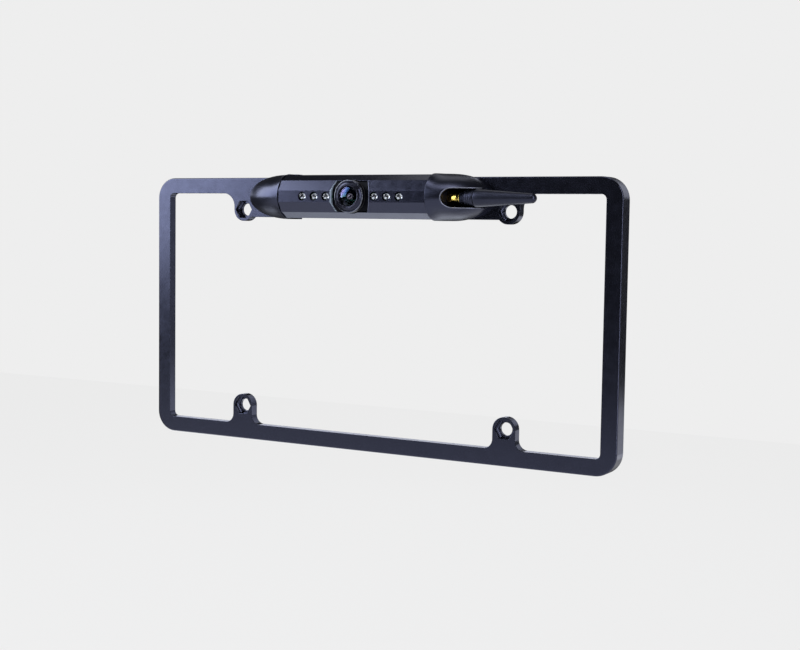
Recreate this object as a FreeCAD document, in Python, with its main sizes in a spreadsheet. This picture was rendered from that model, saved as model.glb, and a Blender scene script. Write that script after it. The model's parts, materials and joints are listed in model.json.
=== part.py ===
import FreeCAD, Part
import math
import os
import Sketcher
from FreeCAD import Vector

# Reversing camera carried by a number plate frame.
# Millimetres. X runs to the right, Y to the back and Z up, as seen by someone facing the plate.
# The origin is the centre of the four plate bolts, on the face that the plate lies against.
# A faceted camera bar tilts between two end caps on the frame's top rail, and a stub antenna
# screws onto a jack in the right cap.

DIMENSIONS = (
    # the frame
    ("frame_width", 310.5, "overall width"),
    ("frame_height", 160.5, "overall height"),
    ("frame_offset", 0.7, "frame centre below the bolt pattern centre"),
    ("rail_width", 9.4, "rails, seen from the front"),
    ("frame_corner", 12.5, "outer corner radius"),
    ("opening_corner", 3.0, "inner corner radius"),
    ("face_thickness", 5.4, "front face to plate seat"),
    ("skirt_depth", 4.4, "skirt behind the plate seat"),
    ("skirt_wall", 2.0, "skirt around the plate edge"),
    ("edge_round", 0.8, "rounding of the front edges"),
    ("bolt_spacing_across", 177.8, "plate bolts, left to right"),
    ("bolt_spacing_up", 120.65, "plate bolts, bottom to top"),
    ("bolt_hole", 7.5, "plate bolt hole diameter"),
    ("nut_flats", 10.4, "hexagonal recess across flats"),
    ("nut_depth", 3.4, "hexagonal recess depth"),
    ("tab_radius", 7.0, "bolt tab end radius"),
    ("upper_fillet", 8.0, "upper tabs to rail"),
    ("lower_fillet", 5.5, "lower tabs to rail"),
    ("web_height", 23.75, "web behind the camera bar, from the frame top"),
    # the camera bar
    ("axis_drop", 11.55, "tilt axis below the frame top"),
    ("axis_standoff", 9.6, "tilt axis in front of the frame face"),
    ("bar_radius", 12.95, "twelve-sided bar, over its corners"),
    ("bar_bore", 21.4, "bar bore diameter"),
    ("bar_length", 96.8, "bar length"),
    ("bar_gap", 0.4, "bar corners to the web and lips behind it"),
    ("end_gap", 0.3, "bar end to cap rim"),
    ("view_width", 25.8, "camera window width"),
    ("view_height", 17.8, "camera window height"),
    # the end caps
    ("cap_radius", 13.2, "cap radius at the rim"),
    ("cap_length", 31.8, "cap, rim to tip"),
    ("cap_straight", 6.3, "cap, rim to where it begins to close in height"),
    ("cap_blend", 9.6, "cap, rim to where its sections become half ellipses"),
    ("cap_sliver", 0.4, "shortest straight side of a cap section"),
    ("cap_wall", 2.2, "cap shell"),
    ("end_wall", 3.0, "wall that carries the trunnion"),
    ("lip_reach", 2.6, "lip over the back of the bar"),
    ("lip_start", 4.0, "lip front edge behind the tilt axis"),
    ("boss_past_rim", 15.3, "cap screw bosses past the rim"),
    ("boss_up", 8.1, "cap screw bosses above and below the tilt axis"),
    ("boss_diameter", 5.4, "cap screw bosses"),
    ("boss_floor", 1.5, "cap screw bosses past their holes"),
    ("screw_shank", 2.5, "cap screw shank diameter"),
    ("screw_head", 5.0, "cap screw head diameter"),
    ("screw_length", 11.0, "cap screw length"),
    ("screw_sink", 0.2, "cap screw head below the plate seat"),
    # the trunnions
    ("plug_depth", 6.0, "plug inside the bar"),
    ("journal_diameter", 11.8, "trunnion journal"),
    ("journal_bore", 4.4, "lead hole in the trunnion"),
    ("journal_overrun", 0.3, "journal past the end wall"),
    ("washer_width", 2.6, "friction washer, inside to outside"),
    ("washer_clearance", 0.2, "radial clearance of the friction washer on its journal"),
    ("washer_recess", 0.6, "friction washer seat in the cap"),
    ("running_fit", 0.1, "radial clearance of journals and sliding fits"),
    ("close_fit", 0.05, "radial clearance of pressed and screwed fits"),
    # the camera
    ("block_width", 24.0, "camera block width"),
    ("block_height", 17.0, "camera block height"),
    ("block_front", 10.4, "camera block face in front of the tilt axis"),
    ("block_back", 5.0, "camera block back behind the tilt axis"),
    ("bezel_diameter", 18.9, "lens bezel"),
    ("bezel_front", 13.3, "lens bezel face in front of the tilt axis"),
    ("bezel_dish", 0.9, "depth of the dish in the bezel"),
    ("bezel_edge", 0.35, "chamfer around the bezel"),
    ("bezel_clearance", 0.2, "radial clearance around the bezel"),
    ("seal_thickness", 0.5, "seal under the bezel"),
    ("barrel_diameter", 13.3, "lens barrel"),
    ("barrel_front", 13.1, "lens barrel face in front of the tilt axis"),
    ("glass_diameter", 11.8, "front lens"),
    ("glass_edge", 2.2, "front lens edge thickness"),
    ("glass_radius", 8.6, "front lens curvature"),
    ("stop_diameter", 7.0, "lens stop"),
    ("stop_hole", 3.4, "lens stop aperture"),
    ("board_thickness", 1.2, "circuit boards"),
    ("sensor_size", 7.0, "image sensor side"),
    ("sensor_thickness", 1.4, "image sensor"),
    ("sensor_clearance", 0.3, "opening around the image sensor"),
    ("board_inset", 0.5, "camera board inside the top and bottom of the block"),
    # the infrared lamps
    ("lamp_diameter", 4.9, "infrared lamp"),
    ("lamp_flange", 5.6, "infrared lamp flange"),
    ("flange_height", 0.9, "infrared lamp flange thickness"),
    ("lamp_front", 13.2, "infrared lamp tip in front of the tilt axis"),
    ("lamp_first", 16.0, "first lamp from the middle of the bar"),
    ("lamp_pitch", 8.0, "lamp spacing"),
    ("lamp_board_front", 9.2, "lamp board face in front of the tilt axis"),
    ("lamp_board_height", 8.0, "lamp board height"),
    ("lamp_board_margin", 1.0, "lamp board past the outer lamp"),
    # the radio
    ("radio_board_back", 3.0, "radio and power boards behind the tilt axis"),
    ("radio_board_height", 19.0, "radio and power board height"),
    ("block_clearance", 3.4, "radio and power boards from the camera block"),
    ("plug_clearance", 1.0, "radio and power boards from the trunnion plugs"),
    ("can_height", 2.5, "shield can height"),
    ("can_margin", 2.5, "shield can inside the radio board's edges"),
    ("lead_diameter", 1.8, "antenna lead"),
    ("socket_size", 4.0, "antenna lead socket"),
    # the antenna jack
    ("antenna_drop", 0.5, "antenna axis below the tilt axis"),
    ("chamber_width", 14.0, "space for the jack behind its wall"),
    ("jack_wall", 2.5, "wall that carries the jack"),
    ("chamber_length", 3.8, "space for the jack, along the bar"),
    ("jack_thread", 6.35, "jack thread diameter"),
    ("jack_bore", 4.6, "jack bore diameter"),
    ("jack_reach", 12.0, "jack barrel past its wall"),
    ("jack_flats", 8.0, "jack and nut across flats"),
    ("nut_thickness", 2.0, "jack nut"),
    ("lock_washer", 0.6, "jack lock washer thickness"),
    ("lock_washer_diameter", 9.0, "jack lock washer diameter"),
    ("pin_diameter", 1.2, "jack contact"),
    ("insulator_recess", 1.0, "jack insulator behind the jack mouth"),
    ("contact_recess", 0.5, "jack contact behind the jack mouth"),
    ("slot_width", 10.8, "antenna slot"),
    ("slot_behind", 6.0, "antenna slot floor behind the tilt axis"),
    # the antenna
    ("thread_shown", 3.4, "jack thread between its nut and the antenna"),
    ("ferrule_length", 3.9, "antenna ferrule length"),
    ("ferrule_diameter", 8.2, "antenna ferrule"),
    ("collar_length", 5.6, "antenna collar length"),
    ("collar_diameter", 9.4, "antenna collar"),
    ("sleeve_length", 36.4, "antenna sleeve length"),
    ("sleeve_edge", 0.9, "chamfer at the sleeve's thick end"),
    ("sleeve_diameter", 10.2, "antenna sleeve at its thick end"),
    ("sleeve_end_diameter", 5.4, "antenna sleeve at its thin end"),
    ("rod_diameter", 2.4, "antenna core"),
    ("rod_margin", 5.0, "antenna core end short of the tip"),
    # the cable gland
    ("gland_past_rim", 11.3, "cable gland past the rim"),
    ("gland_diameter", 8.0, "cable gland"),
    ("gland_flange", 11.0, "cable gland flange"),
    ("gland_bore", 3.6, "cable gland hole"),
    ("flange_thickness", 1.2, "cable gland flange thickness"),
    ("cable_groove", 4.4, "groove for the cable behind the web"),
    ("groove_depth", 3.6, "groove for the cable, depth"),
)


class Size:
    """A length with its present value and the spreadsheet expression that gives it."""

    def __init__(self, value, text):
        self.value = value
        self.text = text

    def __add__(self, other):
        other = as_size(other)
        return Size(self.value + other.value, f"({self.text} + {other.text})")

    def __sub__(self, other):
        other = as_size(other)
        return Size(self.value - other.value, f"({self.text} - {other.text})")

    def __mul__(self, other):
        other = as_size(other)
        return Size(self.value * other.value, f"({self.text} * {other.text})")

    def __truediv__(self, other):
        other = as_size(other)
        return Size(self.value / other.value, f"({self.text} / {other.text})")

    def __neg__(self):
        return Size(-self.value, f"(-1 * {self.text})")


def as_size(number):
    """Let plain numbers stand beside sizes."""
    if isinstance(number, Size):
        return number
    return Size(number, f"({number:.9f})")


def root(size):
    """Square root of a size."""
    return Size(math.sqrt(size.value), f"sqrt({size.text})")


ZERO = as_size(0.0)
ONE = as_size(1.0)
BAR_SIDES = 12
LAMPS_PER_SIDE = 3
ARC_PULL = 4.0 / 3.0 * (math.sqrt(2.0) - 1.0)

doc = FreeCAD.newDocument("ReversingCamera")
sheet = doc.addObject("Spreadsheet::Sheet", "Dimensions")
dim = {}
for row, (alias, value, note) in enumerate(DIMENSIONS, start=1):
    sheet.set(f"A{row}", note)
    sheet.set(f"B{row}", str(value))
    sheet.setAlias(f"B{row}", alias)
    dim[alias] = Size(value, f"Dimensions.{alias}")
doc.recompute()

subparts = []


# ---------------------------------------------------------------- tools for drawing and features

def register(item, label):
    """Give a finished sub-part its name and put it on the list to be written out."""
    item.Label = label
    subparts.append(item)
    return item


def make_body(label, across=ZERO, back=ZERO, up=ZERO):
    """A new body whose own origin lies at the given place."""
    body = doc.addObject("PartDesign::Body", label)
    place = {"x": across, "y": back, "z": up}
    for letter, size in place.items():
        body.setExpression(f"Placement.Base.{letter}", size.text)
    return register(body, label)


def origin_plane(body, role):
    """One of the body's own three origin planes."""
    for feature in body.Origin.OriginFeatures:
        if feature.Role == role:
            return feature
    raise ValueError(f"{body.Label} has no plane {role}")


class Drawing:
    """A closed drawing on an origin plane, every point of it bound to the spreadsheet."""

    def __init__(self, body, name, role, offset=ZERO):
        self.sketch = body.newObject("Sketcher::SketchObject", name)
        self.sketch.AttachmentSupport = (origin_plane(body, role), [""])
        self.sketch.MapMode = "FlatFace"
        self.sketch.setExpression("AttachmentOffset.Base.z", offset.text)

    def bind(self, kind, items, size):
        """Add a dimension and bind it to its expression."""
        index = self.sketch.addConstraint(Sketcher.Constraint(kind, *items, size.value))
        self.sketch.setExpression(f"Constraints[{index}]", size.text)

    def pin(self, edge, end, across, up):
        """Fix one end of an edge at a place measured from the origin."""
        self.bind("DistanceX", (-1, 1, edge, end), across)
        self.bind("DistanceY", (-1, 1, edge, end), up)

    def loop(self, *steps):
        """Closed loop of lines and arcs.

        Each step is (x, y) for a corner reached by a line, or (x, y, centre_x, centre_y, turn)
        for one reached by an arc, where turn is 1 for anticlockwise and -1 for clockwise.
        The last step is also where the loop starts.
        """
        first = None
        last = None
        start = steps[-1]
        for step in steps:
            begin = Vector(start[0].value, start[1].value, 0)
            finish = Vector(step[0].value, step[1].value, 0)
            if len(step) == 2:
                edge = self.sketch.addGeometry(Part.LineSegment(begin, finish), False)
                ends = (1, 2)
            else:
                edge, ends = self.arc(begin, finish, step)
            self.pin(edge, ends[1], step[0], step[1])
            if last is not None:
                self.join(last[0], last[1][1], edge, ends[0])
            else:
                first = (edge, ends)
            last = (edge, ends)
            start = step
        self.join(last[0], last[1][1], first[0], first[1][0])
        return self

    def join(self, edge, end, other, other_end):
        """Make two ends meet."""
        self.sketch.addConstraint(Sketcher.Constraint("Coincident", edge, end, other, other_end))

    def arc(self, begin, finish, step):
        """Arc from begin to finish about a centre, held by one coordinate of that centre."""
        centre = Vector(step[2].value, step[3].value, 0)
        radius = begin.distanceToPoint(centre)
        low, high = (begin, finish) if step[4] > 0 else (finish, begin)
        low_angle = math.atan2(low.y - centre.y, low.x - centre.x)
        high_angle = math.atan2(high.y - centre.y, high.x - centre.x)
        if high_angle <= low_angle:
            high_angle += 2 * math.pi
        circle = Part.Circle(centre, Vector(0, 0, 1), radius)
        edge = self.sketch.addGeometry(Part.ArcOfCircle(circle, low_angle, high_angle), False)
        chord = finish - begin
        if abs(chord.y) >= abs(chord.x):
            self.bind("DistanceX", (-1, 1, edge, 3), step[2])
        else:
            self.bind("DistanceY", (-1, 1, edge, 3), step[3])
        return edge, ((1, 2) if step[4] > 0 else (2, 1))

    def bullet(self, back, straight, depth, half):
        """Half ellipse with short straight sides, closed by a line along the back."""
        turn_x = back - straight
        front = back - depth
        pull_x = turn_x - (depth - straight) * ARC_PULL
        pull_y = half * ARC_PULL
        poles = ((turn_x, half), (pull_x, half), (front, pull_y), (front, ZERO),
                 (front, -pull_y), (pull_x, -half), (turn_x, -half))
        curve = Part.BSplineCurve()
        points = [Vector(across.value, up.value, 0) for across, up in poles]
        curve.buildFromPolesMultsKnots(points, [4, 3, 4], [0, 1, 2], False, 3)
        bow = self.sketch.addGeometry(curve, False)
        first_pole = self.sketch.GeometryCount
        self.sketch.exposeInternalGeometry(bow)
        for number, (across, up) in enumerate(poles):
            self.pin(first_pole + number, 3, across, up)
        corners = ((turn_x, -half), (back, -half), (back, half), (turn_x, half))
        lines = []
        for begin, finish in zip(corners, corners[1:]):
            ends = [Vector(across.value, up.value, 0) for across, up in (begin, finish)]
            lines.append(self.sketch.addGeometry(Part.LineSegment(*ends), False))
        self.join(bow, 2, lines[0], 1)
        self.join(lines[0], 2, lines[1], 1)
        self.join(lines[1], 2, lines[2], 1)
        self.join(lines[2], 2, bow, 1)
        self.pin(lines[0], 2, *corners[1])
        self.pin(lines[1], 2, *corners[2])
        return self

    def box(self, left, low, right, high):
        """Upright rectangle."""
        return self.loop((right, low), (right, high), (left, high), (left, low))

    def ring(self, across, up, radius):
        """Full circle."""
        circle = Part.Circle(Vector(across.value, up.value, 0), Vector(0, 0, 1), radius.value)
        edge = self.sketch.addGeometry(circle, False)
        self.pin(edge, 3, across, up)
        self.bind("Radius", (edge,), radius)
        return self

    def polygon(self, across, up, radius, count, first_angle):
        """Regular polygon over its corners."""
        corners = []
        for step in range(count):
            angle = math.radians(first_angle + 360.0 * step / count)
            corners.append((across + radius * math.cos(angle), up + radius * math.sin(angle)))
        return self.loop(*corners)


def grow(body, name, drawing, length, backward=False, middle=False):
    """Pad a drawing along its plane's normal, backward against it, or evenly both ways."""
    pad = body.newObject("PartDesign::Pad", name)
    pad.Profile = drawing.sketch
    pad.setExpression("Length", length.text)
    pad.Reversed = backward
    pad.Midplane = middle
    return pad


def cut(body, name, drawing, length, along=False, middle=False):
    """Pocket a drawing against its plane's normal, or along it."""
    pocket = body.newObject("PartDesign::Pocket", name)
    pocket.Profile = drawing.sketch
    pocket.setExpression("Length", length.text)
    pocket.Reversed = along
    pocket.Midplane = middle
    return pocket


def turn(body, name, drawing, role):
    """Revolve a drawing fully about one of the body's own axes."""
    revolution = body.newObject("PartDesign::Revolution", name)
    revolution.Profile = drawing.sketch
    revolution.ReferenceAxis = (origin_plane(body, role), [""])
    revolution.Angle = 360.0
    return revolution


def soften(body, name, radius, wanted):
    """Fillet those edges of the body's tip that the test picks."""
    doc.recompute()
    base = body.Tip
    names = []
    for index, edge in enumerate(base.Shape.Edges, start=1):
        if wanted(edge):
            names.append(f"Edge{index}")
    fillet = body.newObject("PartDesign::Fillet", name)
    fillet.Base = (base, names)
    fillet.setExpression("Radius", radius.text)
    return fillet


def near(first, second):
    """Equal to within a thousandth."""
    return abs(first - second) < 0.001


def is_line_along(edge, direction):
    """True for a straight edge in the given direction."""
    if not isinstance(edge.Curve, Part.Line):
        return False
    return abs(abs(edge.Curve.Direction.dot(direction)) - 1) < 0.001


# ------------------------------------------------------------------------------ shared places

half_width = dim["frame_width"] / 2
frame_top = dim["frame_height"] / 2 - dim["frame_offset"]
frame_low = -dim["frame_height"] / 2 - dim["frame_offset"]
bolt_x = dim["bolt_spacing_across"] / 2
bolt_z = dim["bolt_spacing_up"] / 2
axis_y = -(dim["face_thickness"] + dim["axis_standoff"])
axis_z = frame_top - dim["axis_drop"]
antenna_z = axis_z - dim["antenna_drop"]
bar_end = dim["bar_length"] / 2
rim = bar_end + dim["end_gap"]
cap_tip = rim + dim["cap_length"]
boss_x = rim + dim["boss_past_rim"]
gland_x = rim + dim["gland_past_rim"]
chamber_start = rim + dim["end_wall"]
jack_seat = chamber_start + dim["chamber_length"]
slot_wall = jack_seat + dim["jack_wall"]
nut_seat = slot_wall + dim["lock_washer"]
jack_mouth = slot_wall + dim["jack_reach"]
ferrule_start = nut_seat + dim["nut_thickness"] + dim["thread_shown"]
trough_radius = dim["bar_radius"] + dim["bar_gap"]
web_low = frame_top - dim["web_height"]
SIDES = (("left", -1), ("right", 1))


# ---------------------------------------------------------------------------------- the frame

def make_plate_frame():
    """Cast frame: four rails, a skirt around the plate edge, bolt tabs and the bar's web."""
    body = make_body("plate_frame")
    rail = dim["rail_width"]
    inner_x = half_width - rail
    inner_top = frame_top - rail
    inner_low = frame_low + rail
    wall = dim["skirt_wall"]
    upright = Vector(0, 1, 0)

    face = Drawing(body, "FaceOutline", "XZ_Plane")
    face.box(-half_width, frame_low, half_width, frame_top)
    face.box(-inner_x, inner_low, inner_x, inner_top)
    grow(body, "Face", face, dim["face_thickness"])

    skirt = Drawing(body, "SkirtOutline", "XZ_Plane")
    skirt.box(-half_width, frame_low, half_width, frame_top)
    skirt.box(wall - half_width, frame_low + wall, half_width - wall, frame_top - wall)
    grow(body, "Skirt", skirt, dim["skirt_depth"], backward=True)

    web = Drawing(body, "WebOutline", "XZ_Plane")
    web.box(-bolt_x, web_low, bolt_x, inner_top)
    grow(body, "Web", web, dim["face_thickness"])

    tabs = Drawing(body, "TabOutlines", "XZ_Plane")
    radius = dim["tab_radius"]
    for side in (-1, 1):
        centre = bolt_x * side
        left = centre - radius
        right = centre + radius
        tabs.loop((right, bolt_z, centre, bolt_z, 1), (right, inner_top), (left, inner_top),
                  (left, bolt_z))
        tabs.loop((left, -bolt_z, centre, -bolt_z, 1), (left, inner_low), (right, inner_low),
                  (right, -bolt_z))
    grow(body, "Tabs", tabs, dim["face_thickness"])

    soften(body, "Corners", dim["frame_corner"],
           lambda edge: is_line_along(edge, upright)
           and near(abs(edge.CenterOfMass.x), half_width.value))
    soften(body, "RecessCorners", dim["frame_corner"] - wall,
           lambda edge: is_line_along(edge, upright)
           and near(abs(edge.CenterOfMass.x), half_width.value - wall.value))
    soften(body, "OpeningCorners", dim["opening_corner"],
           lambda edge: is_line_along(edge, upright)
           and near(abs(edge.CenterOfMass.x), inner_x.value))
    tab_side = bolt_x.value + radius.value
    soften(body, "UpperTabFillets", dim["upper_fillet"],
           lambda edge: is_line_along(edge, upright)
           and near(abs(edge.CenterOfMass.x), tab_side)
           and near(edge.CenterOfMass.z, inner_top.value))
    soften(body, "LowerTabFillets", dim["lower_fillet"],
           lambda edge: is_line_along(edge, upright)
           and near(abs(abs(edge.CenterOfMass.x) - bolt_x.value), radius.value)
           and near(edge.CenterOfMass.z, inner_low.value))

    front = -dim["face_thickness"].value
    outer = (half_width.value, frame_top.value, frame_low.value)
    soften(body, "FrontEdges", dim["edge_round"],
           lambda edge: is_front_outline(edge, front, outer, dim["frame_corner"].value))

    holes = Drawing(body, "BoltHoles", "XZ_Plane")
    recesses = Drawing(body, "NutRecesses", "XZ_Plane", dim["face_thickness"])
    corner_radius = dim["nut_flats"] / math.sqrt(3)
    for side in (-1, 1):
        for level in (-1, 1):
            holes.ring(bolt_x * side, bolt_z * level, dim["bolt_hole"] / 2)
            recesses.polygon(bolt_x * side, bolt_z * level, corner_radius, 6, 0)
    cut(body, "BoltHole", holes, dim["face_thickness"], along=True)
    cut(body, "NutRecess", recesses, dim["nut_depth"])

    trough = Drawing(body, "TroughOutline", "YZ_Plane")
    trough.ring(axis_y, axis_z, trough_radius)
    cut(body, "Trough", trough, rim * 2, middle=True)

    shank = dim["screw_shank"] / 2 + dim["running_fit"]
    screw_holes = Drawing(body, "CapScrewHoles", "XZ_Plane")
    for side in (-1, 1):
        for level in (-1, 1):
            screw_holes.ring(boss_x * side, axis_z + dim["boss_up"] * level, shank)
    doc.recompute()
    sinks = body.newObject("PartDesign::Hole", "CapScrewSinks")
    sinks.Profile = screw_holes.sketch
    doc.recompute()
    sinks.DepthType = "ThroughAll"
    sinks.Reversed = True
    sinks.Threaded = False
    sinks.HoleCutType = "Countersink"
    sinks.HoleCutCustomValues = True
    sinks.setExpression("Diameter", (shank * 2).text)
    head = dim["screw_head"] + (dim["screw_sink"] + dim["running_fit"]) * 2
    sinks.setExpression("HoleCutDiameter", head.text)
    sinks.HoleCutCountersinkAngle = 90.0

    gland = Drawing(body, "GlandHole", "XZ_Plane")
    gland.ring(-gland_x, axis_z, dim["gland_diameter"] / 2)
    cut(body, "GlandSeat", gland, dim["face_thickness"], along=True)
    groove = Drawing(body, "CableGroove", "XZ_Plane", -dim["skirt_depth"])
    half_groove = dim["cable_groove"] / 2
    groove.box(-gland_x - half_groove, axis_z, half_groove - gland_x,
               frame_top + dim["skirt_wall"])
    cut(body, "CableWay", groove, dim["skirt_depth"] + dim["groove_depth"], along=True)



def is_front_outline(edge, front, outer, corner):
    """True for the edges around the outside of the front face."""
    box = edge.BoundBox
    if not (near(box.YMin, front) and near(box.YMax, front)):
        return False
    width, top, low = outer
    middle = edge.CenterOfMass
    reach = corner * 0.5
    return abs(middle.x) > width - reach or middle.z > top - reach or middle.z < low + reach


# ------------------------------------------------------------------------------- the end caps

CAP_STATIONS = (0.0, 0.1, 0.2, 0.3, 0.42, 0.55, 0.68, 0.8, 0.9, 0.96, 0.993)
CAVITY_STATIONS = (0.0, 0.25, 0.5, 0.72, 0.88, 0.97)


def closing(share):
    """Height of a quarter ellipse, as a share of its height at the start."""
    return root(ONE - share * share)


def straight_side(across):
    """Straight side of a cap section: full at the rim, a sliver once the section is a half ellipse."""
    left = ONE - (across - rim) / dim["cap_blend"]
    if left.value <= 0:
        return dim["cap_sliver"]
    return dim["cap_sliver"] + (dim["axis_standoff"] - dim["cap_sliver"]) * left * left


def nose_loft(body, kind, name, side, start, inset, shares):
    """Bullet nose from start to the cap tip, drawn in by inset all round.

    Seen from the side and from above the nose is a quarter ellipse, and its sections turn from
    the bar's round at the rim into half ellipses that lie against the frame.
    """
    shoulder = rim + dim["cap_straight"]
    tip = cap_tip - inset
    widest = dim["cap_radius"] - inset
    deepest = dim["cap_radius"] + dim["axis_standoff"] - inset
    drawings = []
    for number, share in enumerate(shares):
        across = start + (tip - start) * share
        half = widest
        if across.value > shoulder.value:
            half = widest * closing((across - shoulder) / (tip - shoulder))
        depth = deepest * closing((across - rim) / (tip - rim))
        drawing = Drawing(body, f"{name}{number}", "YZ_Plane", across * side)
        drawings.append(drawing.bullet(dim["axis_standoff"], straight_side(across), depth, half))
    loft = body.newObject(kind, name)
    loft.Profile = drawings[0].sketch
    loft.Sections = [drawing.sketch for drawing in drawings[1:]]
    return loft


def make_end_cap(label, side):
    """Bullet-shaped cap: shell, trunnion wall, lips over the bar and bosses for its screws."""
    body = make_body(label, back=axis_y, up=axis_z)
    back = dim["axis_standoff"]
    nose_loft(body, "PartDesign::AdditiveLoft", "Nose", side, rim, ZERO, CAP_STATIONS)

    lip_start = dim["lip_start"]
    lips = Drawing(body, "LipOutlines", "YZ_Plane", rim * side)
    for level in (-1, 1):
        outside = dim["cap_radius"] * level
        at_start = root(trough_radius * trough_radius - lip_start * lip_start) * level
        at_back = root(trough_radius * trough_radius - back * back) * level
        lips.loop((lip_start, outside), (back, outside), (back, at_back),
                  (lip_start, at_start, ZERO, ZERO, level))
    grow(body, "Lips", lips, dim["lip_reach"], backward=side > 0)

    cavity_start = chamber_start if side < 0 else slot_wall
    nose_loft(body, "PartDesign::SubtractiveLoft", "Cavity", side, cavity_start, dim["cap_wall"],
              CAVITY_STATIONS)
    bosses = Drawing(body, "BossOutlines", "XZ_Plane", -back)
    pilots = Drawing(body, "PilotHoles", "XZ_Plane", -back)
    for level in (-1, 1):
        place = (boss_x * side, dim["boss_up"] * level)
        bosses.ring(*place, dim["boss_diameter"] / 2)
        pilots.ring(*place, dim["screw_shank"] / 2 + dim["close_fit"])
    hole_depth = dim["screw_length"] - dim["face_thickness"] + dim["screw_shank"]
    grow(body, "Bosses", bosses, hole_depth + dim["boss_floor"])
    cut(body, "Pilots", pilots, hole_depth, along=True)

    seat = Drawing(body, "WasherSeat", "YZ_Plane", rim * side)
    seat.ring(ZERO, ZERO, washer_outer() + dim["running_fit"])
    cut(body, "Seat", seat, dim["washer_recess"], along=side > 0)
    bearing = Drawing(body, "BearingBore", "YZ_Plane", rim * side)
    bearing.ring(ZERO, ZERO, dim["journal_diameter"] / 2 + dim["running_fit"])
    cut(body, "Bearing", bearing, dim["end_wall"] + dim["journal_overrun"], along=side > 0)
    if side > 0:
        cut_jack_seat(body)
    return body


def cut_jack_seat(body):
    """Right cap only: the chamber and hole of the antenna jack, and the open antenna slot."""
    back = dim["axis_standoff"]
    drop = -dim["antenna_drop"]
    half = dim["chamber_width"] / 2
    chamber = Drawing(body, "ChamberOutline", "YZ_Plane", chamber_start)
    chamber.loop((ZERO, drop + half), (ZERO, drop - half, ZERO, drop, 1), (back, drop - half),
                 (back, drop + half))
    cut(body, "Chamber", chamber, dim["chamber_length"], along=True)
    hole = Drawing(body, "JackHole", "YZ_Plane", jack_seat)
    hole.ring(ZERO, drop, dim["jack_thread"] / 2 + dim["running_fit"])
    cut(body, "JackWay", hole, dim["jack_wall"], along=True)
    slot = Drawing(body, "SlotOutline", "XZ_Plane", -dim["slot_behind"])
    radius = dim["slot_width"] / 2
    turn_x = slot_wall + radius
    past = cap_tip + radius
    slot.loop((turn_x, drop + radius), (turn_x, drop - radius, turn_x, drop, 1),
              (past, drop - radius), (past, drop + radius))
    reach = dim["slot_behind"] + dim["cap_radius"] * 2
    cut(body, "AntennaSlot", slot, reach, along=True)


def washer_outer():
    """Outer radius of the friction washers."""
    return dim["journal_diameter"] / 2 + dim["washer_clearance"] + dim["washer_width"]


def make_friction_washer(label, side):
    """Rubber washer between the cap and the end of the bar, which holds the tilt."""
    body = make_body(label, back=axis_y, up=axis_z)
    outline = Drawing(body, "Outline", "YZ_Plane", bar_end * side)
    outline.ring(ZERO, ZERO, washer_outer())
    outline.ring(ZERO, ZERO, dim["journal_diameter"] / 2 + dim["washer_clearance"])
    grow(body, "Washer", outline, dim["end_gap"] + dim["washer_recess"], backward=side < 0)


def repeat(form, label, places):
    """One sub-part made of links to the same form, each at its place."""
    links = []
    for number, place in enumerate(places, start=1):
        link = doc.addObject("App::Link", f"{label}_{number}")
        link.LinkedObject = form
        for letter, size in zip("xyz", place):
            link.setExpression(f"Placement.Base.{letter}", size.text)
        links.append(link)
    group = doc.addObject("Part::Compound", label)
    group.Links = links
    return register(group, label)


def make_cap_screws():
    """Four countersunk screws from the plate side into the cap bosses."""
    screw = doc.addObject("PartDesign::Body", "ScrewForm")
    shank = dim["screw_shank"] / 2
    head = dim["screw_head"] / 2
    sink = dim["screw_sink"]
    outline = Drawing(screw, "Outline", "XY_Plane")
    outline.loop((head, -sink), (shank, shank - head - sink), (shank, -dim["screw_length"]),
                 (ZERO, -dim["screw_length"] - shank), (ZERO, -sink))
    turn(screw, "Turned", outline, "Y_Axis")
    places = []
    for side in (-1, 1):
        for level in (-1, 1):
            places.append((boss_x * side, ZERO, axis_z + dim["boss_up"] * level))
    repeat(screw, "cap_screws", places)


def make_cable_gland():
    """Rubber gland in the web, inside the left cap, where the supply cable leaves."""
    body = make_body("cable_gland", across=-gland_x, up=axis_z)
    seat = dim["gland_diameter"] / 2 - dim["close_fit"]
    bore = dim["gland_bore"] / 2
    face = -dim["face_thickness"]
    flange_front = face - dim["flange_thickness"]
    rear = -dim["groove_depth"]
    outline = Drawing(body, "Outline", "XY_Plane")
    outline.loop((bore, rear), (bore, flange_front), (dim["gland_flange"] / 2, flange_front),
                 (dim["gland_flange"] / 2, face), (seat, face), (seat, rear))
    turn(body, "Turned", outline, "Y_Axis")


# ----------------------------------------------------------------------------- the camera bar

def bar_body(label, across=ZERO):
    """A body whose origin is on the tilt axis."""
    return make_body(label, across=across, back=axis_y, up=axis_z)


def make_bar_tube():
    """Twelve-sided tube with a round bore, a window for the camera and six lamp holes."""
    body = bar_body("bar_tube")
    outline = Drawing(body, "Outline", "YZ_Plane")
    outline.polygon(ZERO, ZERO, dim["bar_radius"], BAR_SIDES, 180.0 / BAR_SIDES)
    outline.ring(ZERO, ZERO, dim["bar_bore"] / 2)
    grow(body, "Tube", outline, dim["bar_length"], middle=True)
    window = Drawing(body, "Window", "XZ_Plane")
    window.box(-dim["view_width"] / 2, -dim["view_height"] / 2, dim["view_width"] / 2,
               dim["view_height"] / 2)
    cut(body, "CameraWindow", window, dim["bar_radius"], along=True)
    relief = Drawing(body, "BezelRelief", "XZ_Plane")
    relief.ring(ZERO, ZERO, dim["bezel_diameter"] / 2 + dim["bezel_clearance"])
    cut(body, "BezelWay", relief, dim["bar_radius"], along=True)
    holes = Drawing(body, "LampHoles", "XZ_Plane")
    for place in lamp_places():
        holes.ring(place, ZERO, dim["lamp_diameter"] / 2 + dim["running_fit"])
    cut(body, "LampHole", holes, dim["bar_radius"], along=True)
    return body


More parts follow.
